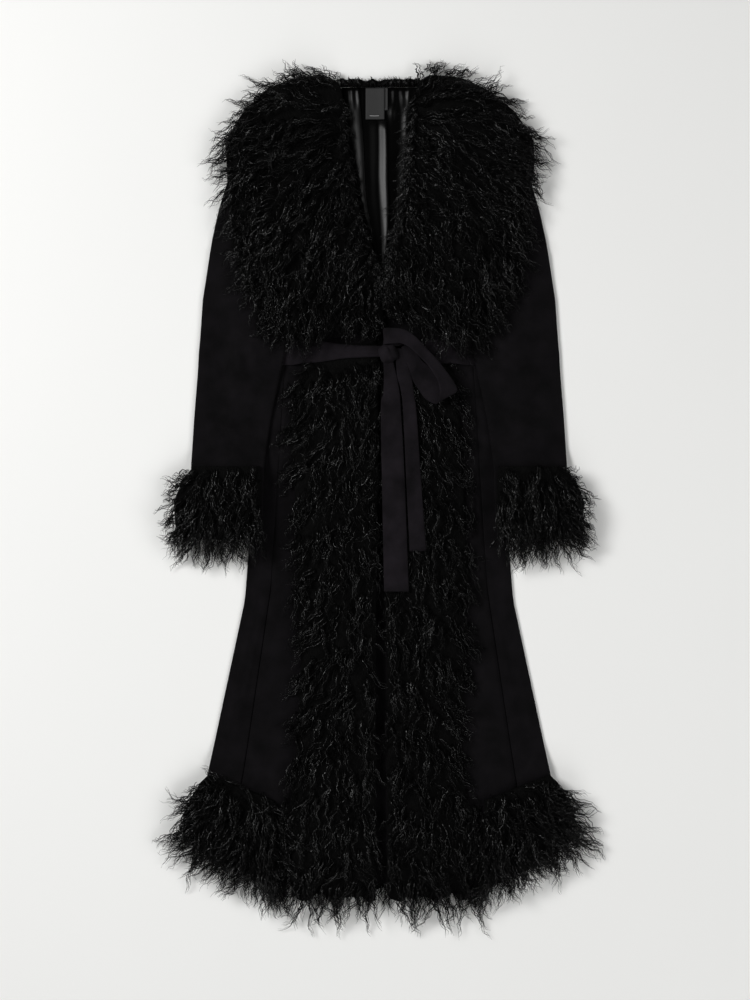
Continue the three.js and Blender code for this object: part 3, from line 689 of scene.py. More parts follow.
def creaseRelief(x, y, rows):
    # a trough along each short line with a soft ridge beside it, both fading out at the line's ends
    relief = np.zeros_like(x)
    for startX, startY, endX, endY, width, depth in zip(*rows.values()):
        reach = math.hypot(endX - startX, endY - startY)
        wayX, wayY = (endX - startX) / reach, (endY - startY) / reach
        run = (x - startX) * wayX + (y - startY) * wayY
        off = np.abs((y - startY) * wayX - (x - startX) * wayY + 1.6 * np.sin(run / 9))
        held = smooth(run, -8, 12) * smooth(-run, -reach - 8, -reach + 14)
        relief += depth * held * (0.9 * bell(off, 1.9 * width, 1.1 * width) - 0.85 * bell(off, 0, width))
    return relief


def makeSleeve(side):
    # two walls, closed at both folds: the upper one stands over the lower and has the creases
    sign = signs[side]
    u, y = grid((0, 1), 38, sleeveSpan, 109)
    x = sign * between(sleeveRows, y, u)
    base = sleeveGround(x, y) + cuffLift(y)
    relief = creaseRelief(np.abs(x), y, sleeveCreases[side]) + 0.7 * ripple(x, y, 5 + sign, 120)
    relief = relief * np.clip(1 - np.abs(2 * u - 1) ** 5, 0, 1) * smooth(-y, -256, -226) * smooth(y, 50, 84)
    upper = base + cloth["wool"] + sleeveHollow(u) + relief
    lower, under = f"sleeve_{side}_lower", f"sleeve_{side}_under"
    pick = np.ix_(range(0, 109, 3), [*range(0, 37, 2), 37])
    woolPanel(lower, x[pick], y[pick], base[pick], 0, ["stage_floor", f"side_{side}_panel"], under)
    woolPanel(f"sleeve_{side}_upper", x, y, upper, 0, [lower], f"sleeve_{side}_top")


# the lining's folds from the left rim to the right: where each crest or valley crosses the neckline, the
# middle and the point, from -1 to 1, and its height. Most rise slowly to the right and then drop steeply.
liningFolds = table(
    "top middle low topHeight lowHeight",
    (-1.00, -1.00, -1.00, 0.0, 0.0), (-0.58, -0.57, -0.62, 3.8, 3.8), (-0.54, -0.52, -0.55, 0.8, 0.8),
    (-0.44, -0.40, -0.45, 0.6, 0.6), (-0.17, -0.17, -0.10, 2.4, 0.9), (-0.14, -0.14, -0.05, 1.6, 0.7),
    (0.04, 0.20, 0.42, 5.8, 6.2), (0.10, 0.26, 0.54, 0.8, 1.0), (0.46, 0.50, 0.80, 0.6, 0.6),
    (0.76, 0.80, 0.92, 3.2, 1.5), (1.00, 1.00, 1.00, 0.6, 0.3),
)
liningPouches = table(
    "x y wide tall height",
    (19, 583, 6, 11, 2.4), (40, 604, 8, 6, 2.0), (40, 566, 5, 20, 1.4), (-29, 606, 3, 7, 1.2),
)


def makeLining():
    # only what the open neck shows: folds, pouches, and fine gathers at the top beside the label
    columns, rows = 104, 42
    u, y = grid((0, 1), columns, (348, 620), rows)
    half = read(neckRows, "half", y)
    across = mix(-1, 1, u)
    x = neckMiddleX + across * (half + 3)
    fall = ramp(-y, -620, -350)
    place, rise, sway = [], [], 0.02 * np.sin(y / 27)
    for top, middle, low, topHeight, lowHeight in zip(*liningFolds.values()):
        place.append(mix(top, middle, ramp(fall, 0, 0.5)) + (low - middle) * ramp(fall, 0.5, 1) + sway)
        rise.append(mix(topHeight, lowHeight, fall))
    pairs = zip(rise, rise[1:], place, place[1:])
    relief = sum((high - low) * smooth(across, start, end) for low, high, start, end in pairs)
    underLabel = smooth(y, 560, 572) * smooth(-np.abs(x + 3), -25, -19)
    relief = relief * np.clip(half / 42, 0.2, 1) * (1 - 0.86 * underLabel)
    for atX, atY, wide, tall, height in zip(*liningPouches.values()):
        relief += height * bell(x, atX, wide) * bell(y, atY, tall)
    besideLabel = smooth(x, 7, 14) + smooth(-x, 22, 28)
    gathers = 0.6 * (1 + np.sin(x / 1.7 + 0.5 * np.sin(y / 8))) * smooth(y, 582, 610) * besideLabel
    under = cloth["wool"] + cloth["rest"] + np.maximum(relief, 0) + gathers
    top = under + cloth["satin"]
    piece = shellPiece("lining_panel", x, y, under, top, paintedSheenSatin)
    # painted sheen: the coat layer's share, a painted highlight on the raised folds and painted shade in the
    # hollows, weaker near the top of the neck; at the top rim on the left it is nearly off, a painted shade
    # on the rim's lit wall
    paintedSheenMask = (0.06 + 0.94 * smooth(relief, 1.2, 3.0)) * mix(0.62, 1.0, smooth(fall, 0.15, 0.6))
    paintedSheenMask = paintedSheenMask * (1 - 0.95 * smooth(y, 608, 618) * smooth(-x, -22, -4))
    chartShell(piece, "folds", paintedSheenMask, paintedSheenMask)
    laid(piece, ["back_panel"], ["back_lining"])
    fine = grid((0, columns - 1), 400, (0, rows - 1), 300)
    clothMap.paint(*(gridRead(values, *fine) for values in (x, y, top)))


label = {"left": -20, "right": 8, "bottom": 572, "top": 619, "lift": 6.0}
labelTab = {"left": -1, "right": 13, "bottom": 586, "top": 619.5, "lift": 4.6}
labelStitch = [(-14, 577.4, 7.9), (-7, 577.0, 8.3), (0, 577.4, 8.0)]


def labelShell(name, left, right, bottom, top, lift):
    # a woven label: its right edge and foot curl up a little, and its ends are turned in
    u, v = grid((0, 1), 18, (0, 1), 26)
    under = lift + 0.9 * smooth(u, 0.6, 1) + 0.7 * smooth(-v, -0.3, 0)
    turnedIn = 0.5 * (bell(v, 0.06, 0.04) + bell(v, 0.95, 0.03))
    x, y = mix(left, right, u), mix(bottom, top, v)
    return shellPiece(name, x, y, under, under + 0.7 + turnedIn, labelCloth)


def makeLabel():
    # two plain labels, and one grey stitch across the wider one's foot
    piece = labelShell("label_plain", **label)
    tab = labelShell("label_tab", **labelTab)
    stitch = along(labelStitch, 18)
    thread = ribbonPiece("label_thread", stitch, (0, 1, 0), np.full(18, 0.6), 0.8, threadCloth, 8)
    laid(piece, ["lining_panel"], ["neck_label"])
    laid(tab, ["lining_panel"], [])


strap = {"x": -9, "y": 621.6, "z": 6.6, "half": 3.3, "reach": 10, "arch": 0.8, "width": 2.6}


def makeHangingLoop():
    # half an ellipse behind the neckline, a little arched
    turn = np.linspace(0, math.pi, 30)
    x, y = strap["x"] - strap["half"] * np.cos(turn), strap["y"] + strap["reach"] * np.sin(turn)
    centre = np.stack([x, y, strap["z"] + strap["arch"] * np.sin(turn)], -1)
    halves = np.full(30, strap["width"] / 2)
    piece = ribbonPiece("hanging_loop_strap", centre, (0, 0, 1), halves, strap["width"], satin, 10)
    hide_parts("hanging_loop")


# Fur

mapSize = {"step": 2.0, "halfX": 350.0, "halfY": 690.0}


class HeightMap:
    # highest thing at each cell of the plan, painted from surfaces and read back for any points
    def __init__(self, fill):
        rows, columns = (int(2 * mapSize[half] / mapSize["step"]) + 1 for half in ("halfY", "halfX"))
        self.cells = np.full((rows, columns), fill)

    def place(self, x, y):
        rows, columns = self.cells.shape
        column = (np.asarray(x) + mapSize["halfX"]) / mapSize["step"]
        row = (np.asarray(y) + mapSize["halfY"]) / mapSize["step"]
        return np.clip(row, 0, rows - 2.001), np.clip(column, 0, columns - 2.001)

    def paint(self, x, y, z):
        row, column = (np.rint(at).astype(int).ravel() for at in self.place(x, y))
        np.maximum.at(self.cells, (row, column), z.ravel())

    def read(self, x, y):
        row, column = self.place(x, y)
        return gridRead(self.cells, column, row)


clothMap = HeightMap(0.0)
lidMap = HeightMap(-999.0)
floorMap = HeightMap(0.0)


def paintCloth():
    # the wool under the fur, so that locks outside the pelts lie on it
    u, y = grid((0, 1), 240, (hem["y"], topY["fronts"]), 640)
    x = mix(-1, 1, u) * bodyHalf(y)
    clothMap.paint(x, bend(x, y, topY["fronts"]), frontTop(y))
    u, y = grid((0, 1), 90, sleeveSpan, 320)
    for sign in (-1, 1):
        x = sign * between(sleeveRows, y, u)
        clothMap.paint(x, y, sleeveGround(x, y) + cuffLift(y) + 2 * cloth["wool"] + sleeveHollow(u))


# Each fur trim: plan gives the point for shares u and v, flow the way that the hair lies there

def collarPlan(side, u, v):
    innerX, innerY, outerX, outerY = (readShare(collarRows[side], name, v) for name in collarRows[side])
    return mix(innerX, outerX, u), mix(innerY, outerY, u)


def collarUnder(x, y):
    lift = ramp(-y, -292, -266)
    return fur["under"] + np.maximum(8.2 * ramp(np.abs(x), 75, 108), 6.4 * lift) + 5.6 * lift


def collarWay(side, v):
    # from the inner edge to the outer one
    (startX, startY), (endX, endY) = collarPlan(side, 0, v), collarPlan(side, 1, v)
    return endX - startX, endY - startY


def collarFlow(side, u, v):
    # out over the shoulder at the top, turning down to the waist
    wayX, wayY = collarWay(side, v)
    length = np.hypot(wayX, wayY)
    down = mix(0.10, 0.55, smooth(v, 0.12, 0.4)) + 1.5 * smooth(v, 0.4, 0.8) + 3.0 * smooth(v, 0.8, 1.0)
    return np.arctan2(wayY / length - down * mix(1.5, 0.9, u), wayX / length)


def bandY(v):
    # the layout's y at a share of the way down a band
    return mix(*bandSpan, v)


def bandPlan(side, u, v):
    # its lower edge is ragged
    y = bandY(v)
    x = between(bandRows[side], y, u)
    return x, y + 9 * ripple(x, 0 * y, 9, 46) * smooth(v, 0.9, 0.945)


def fromDown(side, lean):
    # the angle of hair that hangs down and leans outwards
    return -math.pi / 2 + signs[side] * lean


def bandFlow(side, u, v):
    return fromDown(side, mix(-0.10, 0.62, u) + 0.1 * np.sin(bandY(v) / 60))


def hemTip(x):
    # the hem's lower edge, which curves up to the sides
    return -634 + 118 * (np.abs(x) / 306) ** 2.6


def hemPlan(side, u, v):
    # from beside the band to the outer edge, and from the seam down to the tip
    x = mix(157.0, read(hemOuterRows, "x", v), u)
    upper = mix(hem["bandTop"] - 43, hem["bandTop"] - 2, u)
    return signs[side] * x, mix(upper, hemTip(x), v)


def hemFlow(side, u, v):
    lean = mix(-0.15, 0.5, smooth(u, -0.1, 0.5)) + 1.0 * smooth(u, 0.55, 1.0) * mix(1.0, 0.5, v)
    # at the seam the hair lies both ways along it
    return fromDown(side, lean + 2.2 * ripple(*hemPlan(side, u, v), 77, 20) * smooth(-v, -0.12, 0.0))


def cuffPlan(side, u, v):
    # between the cuff's two folds, with a lower edge that is rounded at both sides
    return signs[side] * between(cuffRows, v, u), mix(53.0, -104 + 20 * (2 * u - 1) ** 4, v)


def cuffFlow(side, u, v):
    # down, and leaning out on the outer half, less so at the tips
    atTip = {"left": 0.4, "right": 0.75}[side]
    return fromDown(side, 0.10 + 1.15 * smooth(u, 0.5, 1.0) * mix(1.0, atTip, v))


def rounded(share, low, high, power):
    # a dome's height over the part from low to high of half a sine wave
    return np.sin(math.pi * np.clip(mix(low, high, share), 0, 1)) ** power


def chartPelt(piece, x, y, hairAxis):
    # a map in centimetres over the pelt: first across the hair, then along it, where axis 0 is v and 1 is u
    def run(axis):
        steps = np.hypot(np.diff(x, axis=axis), np.diff(y, axis=axis)).cumsum(axis)
        return np.insert(steps, 0, 0, axis=axis) / 10

    chartShell(piece, "along", run(1 - hairAxis), run(hairAxis))


def pelt(name, look):
    # the dense wool of one trim over its hide: thin at its rim, with low ridges along the hair
    plan, under, thickness, seed = (look[key] for key in ("peltPlan", "under", "thickness", "peltSeed"))
    columns, rows = look["cells"]
    u, v = grid(look["peltU"], columns, look["peltV"], rows)
    x, y = plan(u, v)
    base = under(x, y)
    lumps = 1.3 * ripple(x, y, seed, 34) + 0.9 * ripple(x, y, seed + 4, 17)
    top = base + np.maximum(thickness(u, v) + lumps * smooth(thickness(u, v), 5, 10), 3.0)
    piece = shellPiece(name, x, y, base, top, underfur)
    chartPelt(piece, x, y, look["hairAxis"])
    u, v = grid(look["peltU"], columns * 4, look["peltV"], rows * 4)
    x, y = plan(u, v)
    clothMap.paint(x, y, under(x, y) + np.maximum(thickness(u, v), 3.0))
    return piece


def drawRoots(rng, look):
    # roots spread evenly over the plan: of two steady fractions, one picks a row by the rows' shares of the
    # area, the other a place along that row by the shares of its cells
    columns, rows = 40, 120
    u, v = np.linspace(*look["u"], columns + 1), np.linspace(*look["v"], rows + 1)
    gu, gv = np.meshgrid(u, v)
    x, y = look["plan"](gu, gv)
    xu, yu, xv, yv = (np.diff(z, axis=axis) for axis in (1, 0) for z in (x, y))
    area = np.abs(xu[:-1] * yv[:, :-1] - yu[:-1] * xv[:, :-1]) * look["weight"](gu[:-1, :-1], gv[:-1, :-1])
    order = np.arange(look["locks"])
    first = (order * 0.7548777 + rng.random()) % 1
    second = (order * 0.5698403 + rng.random()) % 1
    down = np.interp(first, np.insert(np.cumsum(area.sum(1)), 0, 0) / area.sum(), np.arange(rows + 1))
    row = np.minimum(down.astype(int), rows - 1)
    shares = np.insert(np.cumsum(area, 1), 0, 0, axis=1) / area.sum(1, keepdims=True)
    column = np.minimum((shares[row] <= second[:, None]).sum(1) - 1, columns - 1)
    start, end = shares[row, column], shares[row, column + 1]
    sideways = column + (second - start) / np.maximum(end - start, 1e-9)
    return u[0] + sideways * (u[1] - u[0]), v[0] + down * (v[1] - v[0])


def roomToEdge(plan, u, v, angle):
    # millimetres from a root to the plan's far edges (u or v of 1) along the hair's way
    step, least = 0.001, 1e-5
    (x, y), beyondU, beyondV = plan(u, v), plan(u + step, v), plan(u, v + step)
    xu, yu, xv, yv = ((far - near) / step for end in (beyondU, beyondV) for far, near in zip(end, (x, y)))
    across = xu * yv - xv * yu
    across = np.where(np.abs(across) < 1e-3, 1e-3, across)
    du = (np.cos(angle) * yv - np.sin(angle) * xv) / across
    dv = (np.sin(angle) * xu - np.cos(angle) * yu) / across
    room = lambda rate, share: np.where(rate > least, (1 - share) / np.maximum(rate, least), 999)
    return np.minimum(room(du, u), room(dv, v))


def combLocks(name, look):
    # curly locks: each lock's middle line follows the hair's way over what it lies on, and its hairs wind
    # round that line, wide at the root and drawn together at the tip
    rng = np.random.default_rng(look["seed"])
    locks, steps, plan = look["locks"], look["steps"], look["plan"]
    hairs = locks * look["hairs"]
    u, v = drawRoots(rng, look)
    x, y = plan(u, v)
    length = rng.uniform(*look["length"], locks) * look["shorten"](u, v)
    sway = look["sway"] * ripple(x, y, look["seed"] + 2, 75)
    angle = look["flow"](u, v) + sway + rng.normal(0, look["stray"], locks)
    reach = roomToEdge(plan, u, v, angle) + look["over"] * look["further"](u, v) * rng.random(locks) ** 1.6
    length = np.maximum(np.minimum(length, reach), look["shortest"] * rng.uniform(0.8, 1.5, locks))
    s = np.linspace(0, 1, steps)
    stepLength = length[:, None] / (steps - 1)
    heading = angle[:, None] + rng.normal(0, 0.5, (locks, 1)) * (s - 0.25)
    wayX, wayY = np.cos(heading), np.sin(heading)
    walk = lambda start, way: start[:, None] + (np.cumsum(way, 1) - way[:, :1]) * stepLength
    px, py = walk(x, wayX), walk(y, wayY)
    # heights: resting on what is below, lifted by the locks under it, falling where nothing holds it
    layer = look["lift"] * rng.random(locks) ** 1.3
    pz = look["supports"].read(px, py)
    pz[:, 0] -= 0.6
    for k in range(1, steps):
        onTop = pz[:, k] + 1.0 + layer * math.sin(math.pi * min(1.0, 0.2 + 0.75 * s[k]))
        pz[:, k] = np.maximum(onTop, pz[:, k - 1] - stepLength[:, 0] * look["fall"])
    # the hairs of each lock: apart at the root, nearer at the tip, all in the lock's own slow wave
    owner = np.repeat(np.arange(locks), look["hairs"])
    around = rng.uniform(0, math.tau, (hairs, 1))
    wide = rng.uniform(0.15, 1.0, (hairs, 1)) * look["spread"] * mix(look["tip"], 1, 1 - s)
    grow = np.minimum(1, 0.3 + s * 1.8)
    lockTurns = rng.uniform(*look["waves"], (locks, 1))[owner]
    lockPhase = rng.uniform(0, math.tau, (locks, 1))[owner] + rng.normal(0, 0.35, (hairs, 1))
    lockWave = math.tau * lockTurns * s + lockPhase
    crimpTurns = rng.uniform(*look["crimps"], (hairs, 1))
    wind = rng.uniform(0, math.tau, (hairs, 1)) + math.tau * crimpTurns * s
    crimp = look["crimp"] * rng.uniform(0.5, 1.3, (hairs, 1)) * grow
    swing = look["swing"] * grow
    sideways = np.cos(around) * wide + swing * np.sin(lockWave) + crimp * np.sin(wind)
    upwards = 0.7 * np.abs(np.sin(around)) * wide
    upwards = upwards + 0.5 * swing * (1 + np.cos(lockWave)) + 0.7 * crimp * (1 + np.cos(wind))
    cut = rng.uniform(0.72, 1.0, (hairs, 1))
    hx, hy = px[owner] - wayY[owner] * sideways, py[owner] + wayX[owner] * sideways
    hx, hy = (at[:, :1] + (at - at[:, :1]) * cut for at in (hx, hy))
    # the longest tips at the sides curl back before they stray too far
    stray = np.maximum(np.abs(hx) - curl["from"], 0)
    hx = np.sign(hx) * (np.minimum(np.abs(hx), curl["from"]) + curl["over"] * np.tanh(stray / curl["over"]))
    lid, hz = lidMap.read(hx, hy), pz[owner] + upwards
    hz = np.where(lid > 0, np.minimum(hz, lid - 1.9), hz)
    path = np.stack([hx, hy, np.clip(hz, 0.9, look["ceiling"])], -1)
    taper = (0.16 + 0.84 * (1 - s) ** 0.75) * np.minimum(1, 0.55 + 3 * s)
    return tubes(name, path, rng.uniform(*look["radius"], (hairs, 1)) * taper, rng, look["paintedLightFrom"])


def tubes(name, path, radius, rng, paintedLightFrom):
    # every hair is a tapering three-sided tube, its corners set round the path from a random roll
    count, steps, _ = path.shape
    unit = lambda vectors: vectors / np.maximum(np.linalg.norm(vectors, axis=2, keepdims=True), 1e-6)
    tangent = unit(np.gradient(path, axis=1))
    roll = rng.uniform(0, math.tau, count)
    reference = np.stack([0.3 * np.cos(roll), 0.3 * np.sin(roll), np.ones(count)], -1)[:, None, :]
    side = unit(np.cross(tangent, reference))
    up = np.cross(side, tangent)
    corner = (roll[:, None] + np.arange(3) * math.tau / 3)[:, None, :, None]
    ring = np.cos(corner) * side[:, :, None, :] + np.sin(corner) * up[:, :, None, :]
    points = path[:, :, None, :] + ring * radius[:, :, None, None]
    index = np.arange(count * steps * 3).reshape(count, steps, 3)
    following = np.roll(index, -1, axis=2)
    quads = np.stack([index[:, :-1], following[:, :-1], following[:, 1:], index[:, 1:]], -1).reshape(-1, 4)
    caps = np.concatenate([index[:, 0, ::-1], index[:, -1, :]])
    piece = makeObject(name, points.reshape(-1, 3), quads, caps, lockFur)
    runs = np.linalg.norm(np.diff(path, axis=1), axis=2).cumsum(1)
    length = np.insert(runs, 0, 0, axis=1) / 10 + rng.uniform(0, 40, (count, 1))
    # the least pale share, raised on the collars' edge locks as painted light
    own = paintedLightFrom + (1 - paintedLightFrom) * rng.random(count)
    place = np.concatenate([quads.ravel(), caps.ravel()]) // 3
    chartCorners(piece, "along", own[place // steps], length.ravel()[place])
    return piece


def same(u, v):
    # no change anywhere on the trim
    return 1.0


curl = {"from": 316, "over": 26}
lockLook = {
    "hairs": 5, "steps": 11, "length": (44, 64), "radius": (0.60, 1.0), "spread": 7.0, "tip": 0.45,
    "waves": (1.5, 2.4), "swing": 2.4, "crimps": (3.4, 4.8), "crimp": 1.4, "lift": 11.0, "fall": 0.30,
    "stray": 0.34, "sway": 0.34, "over": 24.0, "shortest": 14.0, "paintedLightFrom": 0.0, "ceiling": 47.0,
    "supports": clothMap, "shorten": same, "further": same, "weight": same, "peltU": (0.0, 1.0),
    "hairAxis": 0,
}


def makeTrim(name, restsOn, node, more=(), **settings):
    # one fur trim: its pelt, and the locks combed over it
    look = {**lockLook, "peltPlan": settings["plan"], **settings}
    base = pelt(f"{name}_pelt", look)
    locks = [combLocks(f"{name}_locks", look)]
    locks += [combLocks(f"{name}_{word}_locks", {**look, **changes}) for word, changes in more]
    laid(base, restsOn, [node])


# painted light: the inner-edge locks are made paler than the other hair, more on the right collar, whose edge
# hair is lit brighter
collarEdge = {
    "left": {"locks": 80, "u": (0.0, 0.08), "v": (0.12, 0.86), "paintedLightFrom": 0.2, "length": (12, 22)},
    "right": {"locks": 110, "u": (0.0, 0.05), "v": (0.02, 0.86), "paintedLightFrom": 0.5, "length": (26, 40)},
}
collarInner = {"left": 0.04, "right": 0.0}


def makeCollar(side):
    # the pelt keeps back from the outer edge, and short locks hang over the inner one
    sign = signs[side]
    plan = partial(collarPlan, side)

    def inset(u, v):
        length = np.hypot(*collarWay(side, v))
        return plan(u * (1 - np.minimum(16, 0.6 * length) / length), v)

    edge = {
        **collarEdge[side], "seed": 151 + sign, "lift": 6.0, "steps": 9, "hairs": 4, "waves": (0.8, 1.6),
        "swing": 1.8, "crimps": (1.6, 2.6), "spread": 5.0, "radius": (0.45, 0.8), "shortest": 8.0,
        "over": 24.0, "further": same, "shorten": same, "weight": same,
        "flow": lambda u, v: fromDown(side, -mix(1.0, 0.4, v)),
    }
    makeTrim(
        f"collar_{side}", [f"front_{side}_panel", f"sleeve_{side}_upper"], f"collar_{side}", [("edge", edge)],
        plan=plan, flow=partial(collarFlow, side), under=collarUnder, peltPlan=inset, peltSeed=11 + sign,
        thickness=lambda u, v: (
            3.5 + 14 * rounded(u, 0.16, 1.0, 0.6) * (0.3 + 0.7 * rounded(v, 0.03, 0.97, 0.5))),
        cells=(30, 60), peltV=(0.03, 0.985), hairAxis=1,
        seed=101 + sign, locks=440, u=(collarInner[side], 0.9), v=(0.0, 0.985), lift=12.0, over=30.0,
        further=lambda u, v: 1 + bell(v, 0.34, 0.14),
        shorten=lambda u, v: (
            1 - 0.35 * smooth(-u, -0.16, 0) + 0.22 * bell(v, 0.34, 0.14) * smooth(u, 0.5, 0.8)),
        weight=lambda u, v: (
            0.8 + 0.8 * smooth(u, 0.5, 0.84) + 0.8 * smooth(-u, -0.2, -0.02) + 0.5 * smooth(-v, -0.2, 0)),
    )


def makeBand(side):
    # a front edge's trim, which the belt presses thin
    sign = signs[side]
    full = lambda u, y: 3.5 + 11.5 * rounded(u / 0.9, 0.22, 1.0, 0.6) * (0.4 + 0.6 * smooth(y, -606, -560))
    pressed = lambda y: smooth(np.abs(y - belt["y"]), 20, 44)
    makeTrim(
        f"band_{side}", [f"front_{side}_panel"], f"band_{side}",
        plan=partial(bandPlan, side), flow=partial(bandFlow, side),
        under=lambda x, y: ground(y) + fur["under"],
        thickness=lambda u, v: mix(4.6, full(u, bandY(v)), pressed(bandY(v))),
        cells=(22, 110), peltU=(0.0, 0.88), peltV=(0.0, 0.945), peltSeed=21 + sign,
        seed=201 + sign, locks=415, u=(0.0, 0.94), v=(0.028, 0.945), lift=8.0, ceiling=40.0, over=28.0,
        shorten=lambda u, v: 1 + 0.35 * smooth(v, 0.86, 0.94),
        further=lambda u, v: 1 + 0.7 * smooth(v, 0.84, 0.93),
        weight=lambda u, v: 1.0 + 0.8 * smooth(v, 0.84, 0.94) + 0.7 * smooth(-v, -0.07, -0.04),
    )


def makeHem(side):
    # the hem's trim on one side panel, longest at its outer side
    sign = signs[side]
    makeTrim(
        f"hem_{side}", [f"side_{side}_panel"], f"hem_{side}",
        plan=partial(hemPlan, side), flow=partial(hemFlow, side), under=lambda x, y: 0 * x + fur["hemUnder"],
        thickness=lambda u, v: (
            4 + 12 * rounded(v, 0.14, 0.98, 0.6) * (0.35 + 0.65 * rounded(u, 0.4, 1.0, 0.4))),
        cells=(26, 34), peltU=(0.0, 0.93), peltV=(0.0, 0.78), peltSeed=31 + sign,
        seed=301 + sign, locks=205, u=(-0.11, 0.93), v=(-0.015, 0.80), lift=10.0, length=(50, 74), over=32.0,
        further=lambda u, v: 1 + 1.1 * smooth(u, 0.35, 0.8),
        shorten=lambda u, v: 1 + 0.25 * smooth(u, 0.5, 0.9),
        weight=lambda u, v: (
            0.9 + 0.7 * smooth(v, 0.45, 0.74) + 0.6 * smooth(u, 0.6, 0.88) + 0.5 * smooth(-u, -0.1, 0.1)),
    )


def makeHemBack():
    # a thin pelt under the whole hem, whose locks show below it
    def plan(u, v):
        x = mix(-1, 1, u) * (read(hemOuterRows, "x", v) - 2)
        return x, mix(hem["bandTop"], hemTip(x) + 14, v)

    u, v = grid((0.04, 0.96), 46, (0, 0.76), 14)
    x, y = plan(u, v)
    base = shellPiece("hem_back_pelt", x, y, 0 * x, 6.6 - 2.2 * smooth(v, 0.6, 0.74), underfur)
    chartPelt(base, x, y, 0)
    locks = combLocks("hem_back_locks", {
        **lockLook, "plan": plan, "flow": lambda u, v: -math.pi / 2 + 0.9 * (2 * u - 1) ** 3,
        "supports": floorMap, "seed": 401, "locks": 120, "over": 16.0, "u": (0.02, 0.98), "v": (0.66, 0.78),
        "lift": 2.5, "length": (58, 84), "fall": 0.5, "ceiling": 7.2, "hairs": 4, "steps": 8, "spread": 3.4,
    })
    laid(base, ["stage_floor"], ["hem_back"])


def makeCuff(side):
    # one trim under the sleeve's end and one over it
    sign = signs[side]
    above = fur["back"] + 2 * cloth["wool"] + 2.8 + 3 * cloth["rest"]
    shared = {
        "plan": partial(cuffPlan, side), "flow": partial(cuffFlow, side),
        "peltPlan": lambda u, v: cuffPlan(side, mix(0.05, 0.9, u), v),
    }
    makeTrim(
        f"cuff_{side}_under", ["stage_floor"], f"cuff_{side}_under", **shared,
        under=sleeveGround, thickness=lambda u, v: 6.2 - 2.0 * smooth(v, 0.5, 0.66),
        cells=(20, 14), peltV=(0.0, 0.66), peltSeed=41 + sign, supports=floorMap,
        seed=551 + sign, locks=34, u=(0.1, 0.92), v=(0.5, 0.66), lift=2.0, length=(50, 66), ceiling=9.0,
        hairs=4, steps=8, fall=0.5, over=20.0,
    )
    makeTrim(
        f"cuff_{side}", [f"sleeve_{side}_upper"], f"cuff_{side}_top", **shared,
        under=lambda x, y: sleeveGround(x, y) + above,
        thickness=lambda u, v: (
            4 + 12 * rounded(v, 0.16, 1.0, 0.6) * (0.35 + 0.65 * rounded(u, 0.1, 0.9, 0.5))),
        cells=(26, 26), peltV=(0.0, 0.70), peltSeed=45 + sign, seed=501 + sign, locks=125, u=(0.05, 0.92),
        v=(-0.01, 0.74), lift=9.0, length=(44, 66), over={"left": 34.0, "right": 22.0}[side], stray=0.26,
        weight=lambda u, v: 0.9 + 0.8 * smooth(v, 0.35, 0.66) + 0.6 * smooth(u, 0.6, 0.9),
    )


def makeCollarBack():
    backX = partial(mix, -58, 62)
    # two short gaps in its upper edge stand beside the hanging loop
    gaps = lambda u: bell(backX(u), -19, 5) + bell(backX(u), 2, 5)
    ragged = lambda u: 12.5 - 4 * gaps(u) + 1.5 * ripple(backX(u), 0 * u, 63, 20)
    makeTrim(
        "collar_back", ["stage_floor"], "collar_back",
        plan=lambda u, v: (backX(u), topY["back"] + 0.5 + v * ragged(u)),
        flow=lambda u, v: math.pi / 2 - 1.1 * (2 * u - 1) ** 3, under=lambda x, y: 0 * x,
        thickness=lambda u, v: 2.5 + 3.6 * rounded(v, 0.15, 0.85, 1.0) * mix(1, 0.2, bell(backX(u), -9, 9)),
        cells=(26, 8), peltV=(0.0, 0.9), peltSeed=61,
        seed=601, locks=60, u=(0.0, 1.0), v=(0.0, 0.75), lift=2.0, length=(10, 22), hairs=4, steps=7,
        waves=(0.8, 1.4), swing=0.8, crimps=(1.2, 2.4), spread=3.4, crimp=0.8, ceiling=9.0, radius=(0.4, 0.7),
        over=5.0, shortest=5.0,
    )


# Belt

beltOnFront = float(frontTop(belt["y"])) + cloth["rest"] + belt["thickness"] / 2
beltOnBand = float(ground(belt["y"])) + fur["under"] + fur["trough"] + cloth["rest"] + belt["thickness"] / 2


def makeBeltBehind():
    # a flat strip under the back
    half = float(bodyHalf(belt["y"])) - 4
    x, y = grid((-half, half), 40, (belt["y"] - belt["width"] / 2, belt["y"] + belt["width"] / 2), 8)
    piece = shellPiece("belt_behind", x, y, 0 * x, 0 * x + belt["thickness"], beltCloth)
    laid(piece, ["stage_floor"], ["belt_back"])


beltAcross = {
    "left": {"knotX": -6.0, "halves": (8.5, 8.8, 10.5, 15.8), "lift": 1.0, "gather": 1.5},
    "right": {"knotX": 38.0, "halves": (13.0, 14.0, 16.5, 18.0), "lift": 0.4, "gather": 0.7},
}


